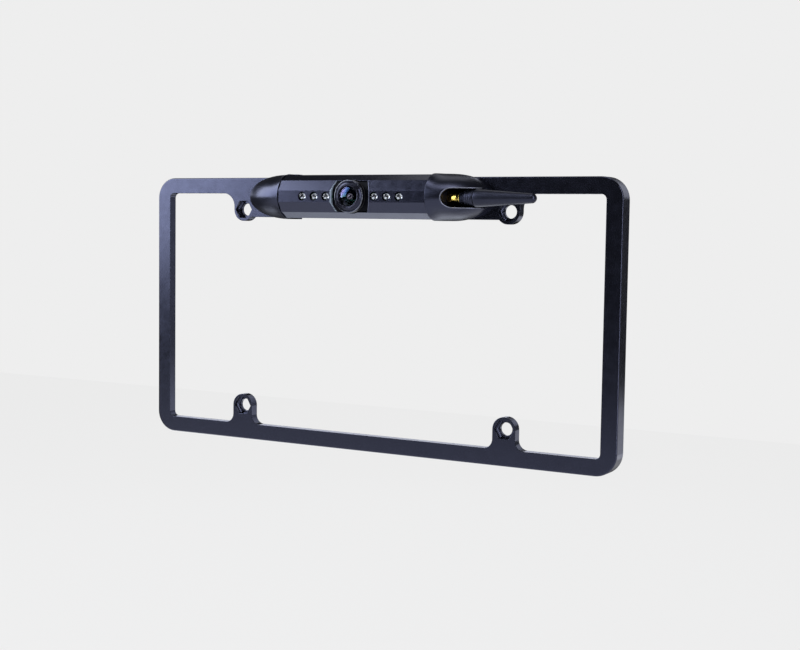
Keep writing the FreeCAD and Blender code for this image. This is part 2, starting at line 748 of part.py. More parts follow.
def lamp_places():
    """Where the six lamps stand along the bar."""
    places = []
    for side in (-1, 1):
        for number in range(LAMPS_PER_SIDE):
            places.append((dim["lamp_first"] + dim["lamp_pitch"] * number) * side)
    return places


def make_trunnion_plug(label, side):
    """Turned plug in the end of the bar with the hollow journal that the bar tilts on."""
    body = bar_body(label)
    plug = dim["bar_bore"] / 2 - dim["close_fit"]
    journal = dim["journal_diameter"] / 2
    bore = dim["journal_bore"] / 2
    inside = (bar_end - dim["plug_depth"]) * side
    face = bar_end * side
    outside = (chamber_start + dim["journal_overrun"]) * side
    outline = Drawing(body, "Outline", "XY_Plane")
    outline.loop((inside, plug), (face, plug), (face, journal), (outside, journal),
                 (outside, bore), (inside, bore))
    turn(body, "Turned", outline, "X_Axis")


def make_camera_block():
    """Moulded block in the window that holds the lens barrel and the camera board."""
    body = bar_body("camera_block")
    half = dim["block_width"] / 2
    tall = dim["block_height"] / 2
    outline = Drawing(body, "Outline", "XZ_Plane", -dim["block_back"])
    outline.box(-half, -tall, half, tall)
    grow(body, "Block", outline, dim["block_back"] + dim["block_front"])
    bore = Drawing(body, "BarrelBore", "XZ_Plane", dim["block_front"])
    bore.ring(ZERO, ZERO, dim["barrel_diameter"] / 2 + dim["close_fit"])
    cut(body, "BarrelWay", bore, dim["block_front"])
    light = Drawing(body, "SensorWindow", "XZ_Plane")
    reach = dim["sensor_size"] / 2 + dim["sensor_clearance"]
    light.box(-reach, -reach, reach, reach)
    cut(body, "SensorWay", light, dim["block_back"])
    upright = Vector(0, 1, 0)
    soften(body, "BlockCorners", dim["edge_round"],
           lambda edge: is_line_along(edge, upright) and near(abs(edge.CenterOfMass.x), half.value))


def turned(label, role, *points):
    """A body turned about one axis from a profile given as (x, y) corners."""
    body = bar_body(label)
    outline = Drawing(body, "Outline", "XY_Plane")
    outline.loop(*points)
    turn(body, "Turned", outline, role)


def make_optics():
    """Bezel, seal, barrel, lenses and stop, all turned about the line of sight."""
    bezel = dim["bezel_diameter"] / 2
    bezel_front = -dim["bezel_front"]
    bezel_bore = dim["barrel_diameter"] / 2 + dim["close_fit"]
    block = -dim["block_front"]
    seal_front = block - dim["seal_thickness"]
    dish = bezel_front + dim["bezel_dish"]
    dish_edge = bezel - dim["bezel_dish"]
    edge = dim["bezel_edge"]
    turned("lens_bezel", "Y_Axis", (bezel, seal_front), (bezel, bezel_front + edge),
           (bezel - edge, bezel_front), (dish_edge, bezel_front), (bezel_bore, dish),
           (bezel_bore, seal_front))
    turned("lens_seal", "Y_Axis", (bezel, block), (bezel, seal_front), (bezel_bore, seal_front),
           (bezel_bore, block))

    barrel = dim["barrel_diameter"] / 2
    barrel_front = -dim["barrel_front"]
    glass = dim["glass_diameter"] / 2
    glass_seat = barrel_front + dim["glass_edge"]
    stop = dim["stop_diameter"] / 2
    stop_seat = glass_seat + dim["board_thickness"]
    tunnel = dim["stop_hole"] / 2
    rear_glass = stop - dim["running_fit"]
    turned("lens_barrel", "Y_Axis", (barrel, ZERO), (barrel, barrel_front),
           (glass + dim["close_fit"], barrel_front), (glass + dim["close_fit"], glass_seat),
           (stop + dim["close_fit"], glass_seat), (stop + dim["close_fit"], ZERO))
    rise = root(dim["glass_radius"] * dim["glass_radius"] - glass * glass)
    dome_centre = barrel_front + rise
    dome = dome_centre - dim["glass_radius"]
    turned("front_lens", "Y_Axis", (ZERO, glass_seat), (glass, glass_seat), (glass, barrel_front),
           (ZERO, dome, ZERO, dome_centre, -1))
    turned("lens_stop", "Y_Axis", (stop, glass_seat), (tunnel, glass_seat), (tunnel, stop_seat),
           (stop, stop_seat))
    turned("rear_lens", "Y_Axis", (ZERO, stop_seat), (rear_glass, stop_seat),
           (rear_glass, stop_seat + dim["glass_edge"]), (ZERO, stop_seat + dim["glass_edge"]))


def board(label, left, right, half_height, front, thickness):
    """Upright circuit board between two places along the bar, its front face at front."""
    body = bar_body(label)
    outline = Drawing(body, "Outline", "XZ_Plane", -(front + thickness))
    outline.box(left, -half_height, right, half_height)
    grow(body, "Board", outline, thickness)
    return body


def make_electronics():
    """Camera board and sensor, lamp boards, radio with its shield can, and the power board."""
    thickness = dim["board_thickness"]
    half = dim["block_width"] / 2
    tall = dim["block_height"] / 2
    board("camera_board", -half, half, tall - dim["board_inset"], dim["block_back"], thickness)
    size = dim["sensor_size"] / 2
    board("image_sensor", -size, size, size, dim["block_back"] - dim["sensor_thickness"],
          dim["sensor_thickness"])
    first = dim["lamp_first"] - dim["lamp_flange"] / 2
    last_lamp = dim["lamp_first"] + dim["lamp_pitch"] * (LAMPS_PER_SIDE - 1)
    last = last_lamp + dim["lamp_flange"] / 2 + dim["lamp_board_margin"]
    board_half = dim["lamp_board_height"] / 2
    front = -dim["lamp_board_front"]
    board("left_lamp_board", -last, -first, board_half, front, thickness)
    board("right_lamp_board", first, last, board_half, front, thickness)
    radio_start = half + dim["block_clearance"]
    radio_end = bar_end - dim["plug_depth"] - dim["plug_clearance"]
    radio_half = dim["radio_board_height"] / 2
    rear = dim["radio_board_back"]
    board("radio_board", radio_start, radio_end, radio_half, rear, thickness)
    board("power_board", -radio_end, -radio_start, radio_half, rear, thickness)
    margin = dim["can_margin"]
    board("shield_can", radio_start + margin, radio_end - dim["socket_size"] - margin,
          radio_half - margin, rear - dim["can_height"], dim["can_height"])
    socket = dim["socket_size"] / 2
    body = bar_body("lead_socket")
    outline = Drawing(body, "Outline", "XZ_Plane", -rear)
    outline.box(radio_end - dim["socket_size"], -socket, radio_end, socket)
    grow(body, "Socket", outline, rear + socket)
    capacitor = bar_body("power_capacitor", across=(radio_end + radio_start) / -2)
    can = Drawing(capacitor, "Outline", "XZ_Plane", -rear)
    can.ring(ZERO, ZERO, dim["socket_size"])
    grow(capacitor, "Can", can, rear + dim["socket_size"])
    return radio_end


def make_lamps():
    """Clear infrared lamps: domed in front, with a flange behind the bar wall."""
    form = doc.addObject("PartDesign::Body", "LampForm")
    radius = dim["lamp_diameter"] / 2
    flange = dim["lamp_flange"] / 2
    seat = -dim["lamp_board_front"]
    step = seat - dim["flange_height"]
    centre = radius - dim["lamp_front"]
    outline = Drawing(form, "Outline", "XY_Plane")
    outline.loop((ZERO, seat), (flange, seat), (flange, step), (radius, step), (radius, centre),
                 (ZERO, -dim["lamp_front"], ZERO, centre, -1))
    turn(form, "Turned", outline, "Y_Axis")
    repeat(form, "ir_lamps", [(place, axis_y, axis_z) for place in lamp_places()])


# -------------------------------------------------------------------------------- the antenna

def antenna_piece(label, *points):
    """A body turned about the antenna axis."""
    body = make_body(label, back=axis_y, up=antenna_z)
    outline = Drawing(body, "Outline", "XY_Plane")
    outline.loop(*points)
    turn(body, "Turned", outline, "X_Axis")


def hexagon_piece(label, start, thickness, bore):
    """A hexagonal plate on the antenna axis with a round hole."""
    body = make_body(label, back=axis_y, up=antenna_z)
    outline = Drawing(body, "Outline", "YZ_Plane", start)
    outline.polygon(ZERO, ZERO, dim["jack_flats"] / math.sqrt(3), 6, 30)
    outline.ring(ZERO, ZERO, bore)
    grow(body, "Plate", outline, thickness)
    return body


def make_jack(lead_start):
    """Coaxial jack through the cap's inner wall, with its nut, washer, contact and lead."""
    thread = dim["jack_thread"] / 2
    bore = dim["jack_bore"] / 2
    head_start = chamber_start + dim["journal_overrun"] + dim["end_gap"]
    jack = hexagon_piece("antenna_jack", head_start, jack_seat - head_start, bore)
    barrel = Drawing(jack, "BarrelOutline", "YZ_Plane", jack_seat)
    barrel.ring(ZERO, ZERO, thread)
    barrel.ring(ZERO, ZERO, bore)
    grow(jack, "Barrel", barrel, jack_mouth - jack_seat)
    washer_bore = thread + dim["close_fit"]
    washer_edge = dim["lock_washer_diameter"] / 2
    antenna_piece("jack_washer", (slot_wall, washer_edge), (nut_seat, washer_edge),
                  (nut_seat, washer_bore), (slot_wall, washer_bore))
    hexagon_piece("jack_nut", nut_seat, dim["nut_thickness"], washer_bore)
    pin = dim["pin_diameter"] / 2
    inner = bore - dim["close_fit"]
    around_pin = pin + dim["close_fit"]
    insulator_end = jack_mouth - dim["insulator_recess"]
    antenna_piece("jack_insulator", (head_start, inner), (insulator_end, inner),
                  (insulator_end, around_pin), (head_start, around_pin))
    contact_end = jack_mouth - dim["contact_recess"]
    antenna_piece("jack_contact", (head_start, pin), (contact_end, pin), (contact_end, ZERO),
                  (head_start, ZERO))
    lead = dim["lead_diameter"] / 2
    antenna_piece("antenna_lead", (lead_start, lead), (head_start, lead), (head_start, ZERO),
                  (lead_start, ZERO))


def make_antenna():
    """Stub antenna: brass ferrule, knurled collar, tapered sleeve and the core inside."""
    bore = dim["jack_thread"] / 2 + dim["running_fit"]
    collar = ferrule_start + dim["ferrule_length"]
    sleeve = collar + dim["collar_length"]
    tip = sleeve + dim["sleeve_length"]
    ferrule = dim["ferrule_diameter"] / 2
    knurl = dim["collar_diameter"] / 2
    mouth = jack_mouth + dim["end_gap"]
    rod = dim["rod_diameter"] / 2
    rod_end = tip - dim["rod_margin"]
    socket = rod + dim["close_fit"]
    antenna_piece("antenna_ferrule", (ferrule_start, ferrule), (collar, ferrule), (collar, bore),
                  (ferrule_start, bore))
    antenna_piece("antenna_collar", (collar, knurl), (sleeve, knurl), (sleeve, ZERO),
                  (mouth, ZERO), (mouth, bore), (collar, bore))
    thick = dim["sleeve_diameter"] / 2
    thin = dim["sleeve_end_diameter"] / 2
    edge = dim["sleeve_edge"]
    antenna_piece("antenna_sleeve", (sleeve, thick - edge), (sleeve + edge, thick),
                  (tip - thin, thin), (tip, ZERO, tip - thin, ZERO, -1), (rod_end, ZERO),
                  (rod_end, socket), (sleeve, socket))
    antenna_piece("antenna_rod", (sleeve, rod), (rod_end, rod), (rod_end, ZERO), (sleeve, ZERO))


# ---------------------------------------------------------------------------- build and write

make_plate_frame()
for name, side in SIDES:
    make_end_cap(f"{name}_end_cap", side)
    make_friction_washer(f"{name}_friction_washer", side)
    make_trunnion_plug(f"{name}_trunnion_plug", side)
make_cap_screws()
make_cable_gland()
make_bar_tube()
make_camera_block()
make_optics()
lead_start = make_electronics()
make_lamps()
make_jack(lead_start)
make_antenna()
doc.recompute()

for item in doc.Objects:
    if "Invalid" in item.State or "Error" in item.State:
        raise RuntimeError(f"{item.Label} failed: {item.State}")
for subpart in subparts:
    if subpart.Shape.isNull() or not subpart.Shape.isValid():
        raise RuntimeError(f"{subpart.Label} has no valid shape")

os.makedirs("parts", exist_ok=True)
for subpart in subparts:
    subpart.Shape.exportStep(f"parts/{subpart.Label}.step")
    print(f"{subpart.Label}: {len(subpart.Shape.Solids)} solid(s), {subpart.Shape.Volume:.1f} mm3")
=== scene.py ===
import json
from math import atan2, cos, floor, pi, radians, sin, sqrt, tan

import bmesh
import bpy
from mathutils import Matrix, Vector


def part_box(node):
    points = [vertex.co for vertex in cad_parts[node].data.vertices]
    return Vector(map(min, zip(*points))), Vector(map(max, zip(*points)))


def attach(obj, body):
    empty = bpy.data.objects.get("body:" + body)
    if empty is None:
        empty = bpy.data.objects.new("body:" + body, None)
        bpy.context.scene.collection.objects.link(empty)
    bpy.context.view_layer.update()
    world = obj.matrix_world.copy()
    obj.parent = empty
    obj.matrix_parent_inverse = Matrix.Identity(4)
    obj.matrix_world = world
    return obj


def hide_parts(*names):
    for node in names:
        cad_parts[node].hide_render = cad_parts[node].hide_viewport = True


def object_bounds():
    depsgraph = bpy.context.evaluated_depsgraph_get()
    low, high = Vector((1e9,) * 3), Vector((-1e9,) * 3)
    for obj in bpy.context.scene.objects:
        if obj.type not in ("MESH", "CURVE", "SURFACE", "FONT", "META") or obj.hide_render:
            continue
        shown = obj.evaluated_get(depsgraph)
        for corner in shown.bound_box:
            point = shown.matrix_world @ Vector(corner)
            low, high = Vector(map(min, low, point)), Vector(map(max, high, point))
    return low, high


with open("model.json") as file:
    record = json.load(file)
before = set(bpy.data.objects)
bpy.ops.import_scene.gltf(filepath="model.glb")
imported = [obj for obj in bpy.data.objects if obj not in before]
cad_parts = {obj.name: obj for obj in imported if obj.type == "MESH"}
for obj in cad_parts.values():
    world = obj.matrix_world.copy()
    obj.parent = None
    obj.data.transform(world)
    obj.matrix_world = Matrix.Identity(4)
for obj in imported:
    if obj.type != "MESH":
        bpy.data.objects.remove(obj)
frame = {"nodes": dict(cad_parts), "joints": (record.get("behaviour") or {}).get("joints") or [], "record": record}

cad_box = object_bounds()

# Metres throughout. The tilt axis runs along X through the middle of the camera bar, and the lens
# looks along -Y. Lens pieces are given by their distance in front of that axis and their radius,
# and antenna pieces by their place along X and their radius.

MM = 0.001
JOINTS = {joint["name"]: joint for joint in frame["joints"]}
TILT = Vector(JOINTS["bar_tilt"]["pos_m"])
ANTENNA = Vector(JOINTS["antenna_screw"]["pos_m"])


# ---- mesh building

def link_object(name, data):
    """Put a new object in the scene."""
    obj = bpy.data.objects.new(name, data)
    bpy.context.scene.collection.objects.link(obj)
    return obj


def add_object(name, mesh, body, slot, replaced=(), finish=None):
    """Place a mesh on a body, for a record slot and for the CAD nodes that it stands for.

    It has the slot's own finish unless another is given."""
    obj = link_object(name, mesh)
    mesh.materials.append(finish or FINISHES[slot])
    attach(obj, body)
    if replaced:
        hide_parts(*replaced)
    return obj


def plain_mesh(name, build):
    """Turn a bmesh into a mesh with outward normals."""
    bmesh.ops.recalc_face_normals(build, faces=build.faces)
    mesh = bpy.data.meshes.new(name)
    build.to_mesh(mesh)
    build.free()
    return mesh


def finish_mesh(name, build, sharp=35.0):
    """Turn a bmesh into a mesh that is smooth but for edges over the angle."""
    mesh = plain_mesh(name, build)
    mesh.shade_smooth()
    mesh.set_sharp_from_angle(angle=radians(sharp))
    return mesh


def skin(name, rings, looped=False, sharp=35.0):
    """Skin over rings of points, with its ends closed unless the rings run in a loop."""
    build = bmesh.new()
    rows = [[build.verts.new(point) for point in ring] for ring in rings]
    around = len(rings[0])
    pairs = list(zip(rows, rows[1:]))
    if looped:
        pairs.append((rows[-1], rows[0]))
    for low, high in pairs:
        for step in range(around):
            after = (step + 1) % around
            build.faces.new((low[step], low[after], high[after], high[step]))
    if not looped:
        build.faces.new(rows[0])
        build.faces.new(rows[-1])
    bmesh.ops.remove_doubles(build, verts=build.verts, dist=1e-7)
    bmesh.ops.dissolve_degenerate(build, edges=build.edges, dist=1e-8)
    return finish_mesh(name, build, sharp)


def rounded(profile, radius, closed, steps=4):
    """Round the corners of a profile of (along, out) points, leaving open ends alone."""
    points = [Vector(point) for point in profile]
    count = len(points)
    result = []
    for index, corner in enumerate(points):
        if not closed and index in (0, count - 1):
            result.append(corner)
            continue
        before = points[index - 1] - corner
        after = points[(index + 1) % count] - corner
        half = before.angle(after) / 2
        if half > radians(85):
            result.append(corner)
            continue
        reach = min(radius / tan(half), before.length * 0.45, after.length * 0.45)
        start = corner + before.normalized() * reach
        end = corner + after.normalized() * reach
        for step in range(steps + 1):
            share = step / steps
            bend = start * (1 - share) ** 2 + corner * 2 * share * (1 - share) + end * share ** 2
            result.append(bend)
    return result


def view_point(along, out, angle, across=0.0):
    """A point around the line of sight, or around a parallel one further along the bar."""
    return Vector((across + out * cos(angle), TILT.y - along, TILT.z + out * sin(angle)))


def antenna_point(along, out, angle):
    """A point around the antenna axis."""
    return Vector((along, ANTENNA.y + out * cos(angle), ANTENNA.z + out * sin(angle)))


def lathe(name, profile, point, rounding=0.0, bored=False, around=72, sharp=35.0, **place):
    """Turn a profile of (along, out) points about an axis; a bored one is a closed ring."""
    if rounding:
        profile = rounded(profile, rounding, bored)
    angles = [2 * pi * step / around for step in range(around)]
    rings = [[point(along, max(out, 1e-6), angle, **place) for angle in angles]
             for along, out in profile]
    return skin(name, rings, looped=bored, sharp=sharp)


def arc_points(centre, radius, low, high, steps):
    """(along, out) points on an arc about a centre on the axis, angles from the axis."""
    points = []
    for step in range(steps + 1):
        angle = low + (high - low) * step / steps
        points.append((centre + radius * cos(angle), radius * sin(angle)))
    return points


# ---- materials

SOCKETS = {"base": "Base Color", "metal": "Metallic", "rough": "Roughness", "ior": "IOR",
           "gloss": "Specular IOR Level", "tint": "Specular Tint", "through": "Transmission Weight",
           "coat": "Coat Weight", "coat_rough": "Coat Roughness", "coat_tint": "Coat Tint",
           "coat_ior": "Coat IOR"}


class Nodes:
    """A material's node tree, with short ways to add what the finishes here need."""

    def __init__(self, name):
        self.material = bpy.data.materials.new(name)
        self.material.use_nodes = True
        self.tree = self.material.node_tree
        self.shader = self.tree.nodes["Principled BSDF"]
        self.output = self.tree.nodes["Material Output"]
        self.place = self.add("ShaderNodeTexCoord").outputs["Object"]

    def add(self, kind, values=(), **settings):
        """A new node with the values of its inputs and its other settings."""
        node = self.tree.nodes.new(kind)
        for key, value in settings.items():
            setattr(node, key, value)
        for key, value in dict(values).items():
            node.inputs[key].default_value = value
        return node

    def link(self, source, target):
        self.tree.links.new(source, target)

    def coordinates(self):
        """The object's own X, Y and Z."""
        parts = self.add("ShaderNodeSeparateXYZ")
        self.link(self.place, parts.inputs["Vector"])
        return [parts.outputs[axis] for axis in "XYZ"]

    def noise(self, scale, detail=3.0, stretch=None):
        """Noise of that many cells a metre, stretched by a factor along each axis if asked."""
        node = self.add("ShaderNodeTexNoise", {"Scale": scale, "Detail": detail})
        source = self.place
        if stretch:
            mapping = self.add("ShaderNodeMapping", {"Scale": stretch})
            self.link(self.place, mapping.inputs["Vector"])
            source = mapping.outputs["Vector"]
        self.link(source, node.inputs["Vector"])
        return node.outputs["Fac"]

    def spread(self, source, low, high, start=0.3, end=0.7):
        """Map the range from start to end onto low to high."""
        node = self.add("ShaderNodeMapRange", {"From Min": start, "From Max": end,
                                               "To Min": low, "To Max": high})
        self.link(source, node.inputs["Value"])
        return node.outputs["Result"]

    def blend(self, share, first, second):
        """Mix two colours, each a tuple or a socket, by a share."""
        node = self.add("ShaderNodeMix", data_type="RGBA")
        self.link(share, node.inputs["Factor"])
        for key, value in (("A", first), ("B", second)):
            socket = [item for item in node.inputs if item.name == key and item.type == "RGBA"][0]
            if isinstance(value, tuple):
                socket.default_value = (*value, 1.0)
            else:
                self.link(value, socket)
        return [item for item in node.outputs if item.type == "RGBA"][0]

    def math(self, operation, first, second):
        """One arithmetic step on sockets or numbers."""
        node = self.add("ShaderNodeMath", operation=operation)
        for index, value in enumerate((first, second)):
            if isinstance(value, (int, float)):
                node.inputs[index].default_value = value
            else:
                self.link(value, node.inputs[index])
        return node.outputs["Value"]

    def soft_normal(self, radius):
        """The surface's normal with its edges softened by a radius."""
        return self.add("ShaderNodeBevel", {"Radius": radius}, samples=6).outputs["Normal"]

    def bump(self, height, distance, strength=1.0, edges=0.0):
        """Bump from a height of 0 to 1 over a distance in metres, on edges softened by a radius."""
        node = self.add("ShaderNodeBump", {"Distance": distance, "Strength": strength})
        self.link(height, node.inputs["Height"])
        if edges:
            self.link(self.soft_normal(edges), node.inputs["Normal"])
        self.link(node.outputs["Normal"], self.shader.inputs["Normal"])

    def mottle(self, cloud, dark, light):
        """Colour that runs from dark to light with a noise."""
        return self.blend(self.spread(cloud, 0.0, 1.0), dark, light)

    def set(self, **values):
        """Set the shader's own sockets, by their short names."""
        for key, value in values.items():
            if isinstance(value, tuple):
                value = (*value, 1.0)
            self.shader.inputs[SOCKETS[key]].default_value = value

    def feed(self, **sources):
        """Link sources to the shader's own sockets, by their short names."""
        for key, source in sources.items():
            self.link(source, self.shader.inputs[SOCKETS[key]])


def worn_edges(nodes, radius):
    """1 on outside edges and 0 on flats, from how far the softened normal leans."""
    lean = nodes.add("ShaderNodeVectorMath", operation="DOT_PRODUCT")
    nodes.link(nodes.soft_normal(radius), lean.inputs[0])
    nodes.link(nodes.add("ShaderNodeNewGeometry").outputs["Normal"], lean.inputs[1])
    return nodes.spread(lean.outputs["Value"], 1.0, 0.0, start=0.86, end=0.98)


BLUE_SHEEN = (0.56, 0.61, 1.0)
WORN_TONE = 2.2


def satin(name, dark, light, rough, grain, depth, gloss=1.0, tint=BLUE_SHEEN, edges=0.0,
          stretch=None):
    """Satin black finish: mottled tone and roughness, fine grain and slightly polished edges."""
    nodes = Nodes(name)
    cloud = nodes.noise(90.0, 4.0, stretch)
    fine = nodes.noise(grain, 2.0, stretch)
    tone = nodes.mottle(cloud, dark, light)
    if edges:
        wear = nodes.math("MULTIPLY", worn_edges(nodes, edges), nodes.spread(cloud, 0.15, 0.55))
        worn = tuple(min(1.0, value * WORN_TONE) for value in light)
        tone = nodes.blend(wear, tone, worn)
    nodes.feed(base=tone)
    nodes.feed(rough=nodes.spread(nodes.noise(240.0, 5.0), rough - 0.03, rough + 0.03))
    nodes.set(gloss=gloss, tint=tint)
    nodes.bump(fine, depth, 0.6, edges)
    return nodes.material


def metal(name, dark, light, rough, turned=False, depth=0.004 * MM):
    """Metal with a tarnish that varies, and fine turning lines if asked."""
    nodes = Nodes(name)
    nodes.set(metal=1.0)
    cloud = nodes.noise(700.0, 4.0)
    nodes.feed(base=nodes.mottle(cloud, dark, light))
    nodes.feed(rough=nodes.spread(cloud, rough - 0.06, rough + 0.08))
    stretch = (9.0, 1.0, 1.0) if turned else None
    nodes.bump(nodes.noise(2200.0, 2.0, stretch), depth, 0.5)
    return nodes.material


def clear(name, colour, rough, tint=(1.0, 1.0, 1.0)):
    """Clear glass or epoxy with the faintest unevenness."""
    nodes = Nodes(name)
    nodes.set(base=colour, through=1.0, ior=1.5, tint=tint)
    nodes.feed(rough=nodes.spread(nodes.noise(500.0, 2.0), rough, rough + 0.02))
    return nodes.material


def rubber(name):
    """Matt black rubber with a fine pitted skin."""
    nodes = Nodes(name)
    cloud = nodes.noise(300.0, 5.0)
    nodes.feed(base=nodes.mottle(cloud, (0.012, 0.012, 0.013), (0.024, 0.024, 0.026)))
    nodes.feed(rough=nodes.spread(cloud, 0.62, 0.75))
    nodes.bump(nodes.noise(5000.0, 3.0), 0.02 * MM, 0.7)
    return nodes.material


def circuit_board(name):
    """Green solder mask over copper lanes with tinned pads."""
    nodes = Nodes(name)
    lanes = nodes.add("ShaderNodeTexBrick", {
        "Scale": 260.0, "Mortar Size": 0.06, "Color1": (0.010, 0.085, 0.030, 1),
        "Color2": (0.014, 0.11, 0.040, 1), "Mortar": (0.03, 0.20, 0.075, 1)})
    nodes.link(nodes.place, lanes.inputs["Vector"])
    pads = nodes.add("ShaderNodeTexVoronoi", {"Scale": 420.0})
    nodes.link(nodes.place, pads.inputs["Vector"])
    is_pad = nodes.spread(pads.outputs["Distance"], 1.0, 0.0, start=0.14, end=0.18)
    nodes.feed(base=nodes.blend(is_pad, lanes.outputs["Color"], (0.72, 0.70, 0.62)), metal=is_pad)
    nodes.feed(rough=nodes.spread(nodes.noise(900.0), 0.28, 0.42))
    nodes.bump(is_pad, 0.03 * MM, 0.8)
    return nodes.material


def plain_plastic(name, dark, light, rough, gloss=0.5):
    """Moulded plastic with a fine texture."""
    nodes = Nodes(name)
    nodes.set(gloss=gloss)
    cloud = nodes.noise(250.0, 4.0)
    nodes.feed(base=nodes.mottle(cloud, dark, light))
    nodes.feed(rough=nodes.spread(cloud, rough - 0.04, rough + 0.05))
    nodes.bump(nodes.noise(3000.0, 2.0), 0.01 * MM, 0.5)
    return nodes.material


FINISHES = {
    "frame_black": satin("satin_powder_coat", (0.0018, 0.0019, 0.0027), (0.0028, 0.0030, 0.0042),
                         0.21, 3200.0, 0.003 * MM, edges=0.35 * MM),
    "bar_black": satin("black_anodising", (0.0024, 0.0026, 0.0048), (0.0036, 0.0038, 0.0070),
                       0.22, 5200.0, 0.003 * MM, edges=0.15 * MM, stretch=(0.15, 1.0, 1.0)),
    "cap_black": satin("satin_moulding", (0.0022, 0.0024, 0.0040), (0.0034, 0.0037, 0.0060),
                       0.31, 4200.0, 0.002 * MM, edges=0.30 * MM),
    "antenna_black": satin("antenna_moulding", (0.0040, 0.0043, 0.0060), (0.0060, 0.0065, 0.0090),
                           0.33, 4800.0, 0.003 * MM, gloss=0.7),
    "lens_black": satin("lens_ring_black", (0.0030, 0.0030, 0.0045), (0.0050, 0.0050, 0.0070),
                        0.24, 6000.0, 0.003 * MM, gloss=0.7),
    "block_black": plain_plastic("block_moulding", (0.0012, 0.0016, 0.0040),
                                 (0.0022, 0.0028, 0.0065), 0.55, gloss=0.08),
    "lens_glass": clear("coated_glass", (0.92, 0.95, 1.0), 0.0, tint=(0.55, 0.60, 1.0)),
    "lamp_clear": clear("clear_epoxy", (0.95, 0.97, 1.0), 0.01),
    "brass": metal("plated_brass", (0.90, 0.66, 0.14), (1.0, 0.84, 0.26), 0.15, turned=True,
                   depth=0.001 * MM),
    "screw_steel": metal("black_zinc", (0.05, 0.05, 0.055), (0.10, 0.10, 0.11), 0.38),
    "trunnion_metal": metal("turned_aluminium", (0.55, 0.55, 0.57), (0.70, 0.70, 0.72), 0.30,
                            turned=True),
    "can_steel": metal("tinned_sheet", (0.60, 0.60, 0.61), (0.76, 0.76, 0.77), 0.30),
    "board_green": circuit_board("solder_mask"),
    "chip_black": plain_plastic("chip_package", (0.010, 0.010, 0.014), (0.020, 0.020, 0.026), 0.30),
    "soft_rubber": rubber("soft_rubber"),
    "white_ptfe": plain_plastic("white_insulator", (0.78, 0.78, 0.76), (0.86, 0.86, 0.84), 0.45),
}


def dress_nodes():
    """Give every CAD node the finish that its slot in the record names."""
    for row in frame["record"]["subparts"]:
        node = frame["nodes"][row["node"]]
        for slot in node.material_slots:
            slot.material = FINISHES[row["material_slot"]]


# ---- the lens

def edge_of(node, axis, end):
    """One coordinate of a CAD node's box."""
    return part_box(node)[end][axis]


def in_front(place):
    """How far a Y coordinate lies in front of the tilt axis."""
    return TILT.y - place


NOSE = 1.0 * MM            # rise of the nose cone above the bezel's rim
GLASS_RADIUS = 5.75 * MM
GLASS_CURVE = 11.0 * MM
GLASS_THICK = 0.6 * MM
GLASS_REAR = 12.85 * MM
GLASS_SEAT = GLASS_RADIUS + 0.04 * MM
PUPIL = 1.6 * MM
LENS_AROUND = 144


def make_bezel():
    """Lens nose: rolled rim, groove, and a shallow cone that rises to the ring around the glass."""
    low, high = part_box("lens_bezel")
    front = in_front(low.y)
    outer = (high.x - low.x) / 2
    bore = edge_of("lens_barrel", 0, 1) + 0.05 * MM
    back = in_front(high.y)
    profile = [
        (back, outer),
        (front - 0.75 * MM, outer),
        (front - 0.28 * MM, outer - 0.10 * MM),
        (front, outer - 0.42 * MM),
        (front - 0.06 * MM, outer - 0.66 * MM),
        (front - 0.36 * MM, outer - 0.76 * MM),
        (front - 0.34 * MM, outer - 1.05 * MM),
        (front + NOSE * 0.45, bore + 1.1 * MM),
        (front + NOSE * 0.86, bore + 0.42 * MM),
        (front + NOSE * 0.92, bore + 0.16 * MM),
        (front + NOSE * 0.80, bore),
        (back, bore),
    ]
    mesh = lathe("lens_bezel_ring", profile, view_point, rounding=0.12 * MM, bored=True,
                 around=LENS_AROUND)
    add_object("lens_bezel_ring", mesh, "camera_bar", "lens_black", ["lens_bezel"])
    polished = metal("polished_rim", (0.20, 0.21, 0.25), (0.28, 0.30, 0.34), 0.20, depth=0.001 * MM)
    add_ring("lens_rim", front - 0.26 * MM, outer - 0.40 * MM, 0.25 * MM, polished)


def add_ring(name, along, out, radius, finish):
    """A thin round ring about the line of sight."""
    sides = 12
    turns = [2 * pi * step / sides for step in range(sides)]
    profile = [(along + radius * cos(turn), out + radius * sin(turn)) for turn in turns]
    mesh = lathe(name, profile, view_point, bored=True, around=LENS_AROUND, sharp=80.0)
    add_object(name, mesh, "camera_bar", "lens_black", finish=finish)


def make_barrel():
    """Barrel mouth with its two thin lips around the glass."""
    low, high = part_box("lens_barrel")
    nose = in_front(edge_of("lens_bezel", 1, 0)) + NOSE
    back = in_front(high.y)
    outer = (high.x - low.x) / 2
    profile = [
        (back, outer),
        (nose - 0.16 * MM, outer),
        (nose, outer - 0.14 * MM),
        (nose - 0.05 * MM, outer - 0.32 * MM),
        (nose - 0.50 * MM, outer - 0.42 * MM),
        (nose - 0.50 * MM, GLASS_SEAT + 0.30 * MM),
        (nose - 0.36 * MM, GLASS_SEAT + 0.18 * MM),
        (nose - 0.42 * MM, GLASS_SEAT),
        (back, GLASS_SEAT),
    ]
    mesh = lathe("lens_barrel_ring", profile, view_point, rounding=0.06 * MM, bored=True,
                 around=LENS_AROUND)
    add_object("lens_barrel_ring", mesh, "camera_bar", "lens_black", ["lens_barrel"])
    lip = metal("dark_lip", (0.05, 0.05, 0.07), (0.09, 0.09, 0.12), 0.24, depth=0.001 * MM)
    add_ring("lens_lip", nose - 0.08 * MM, outer - 0.16 * MM, 0.12 * MM, lip)


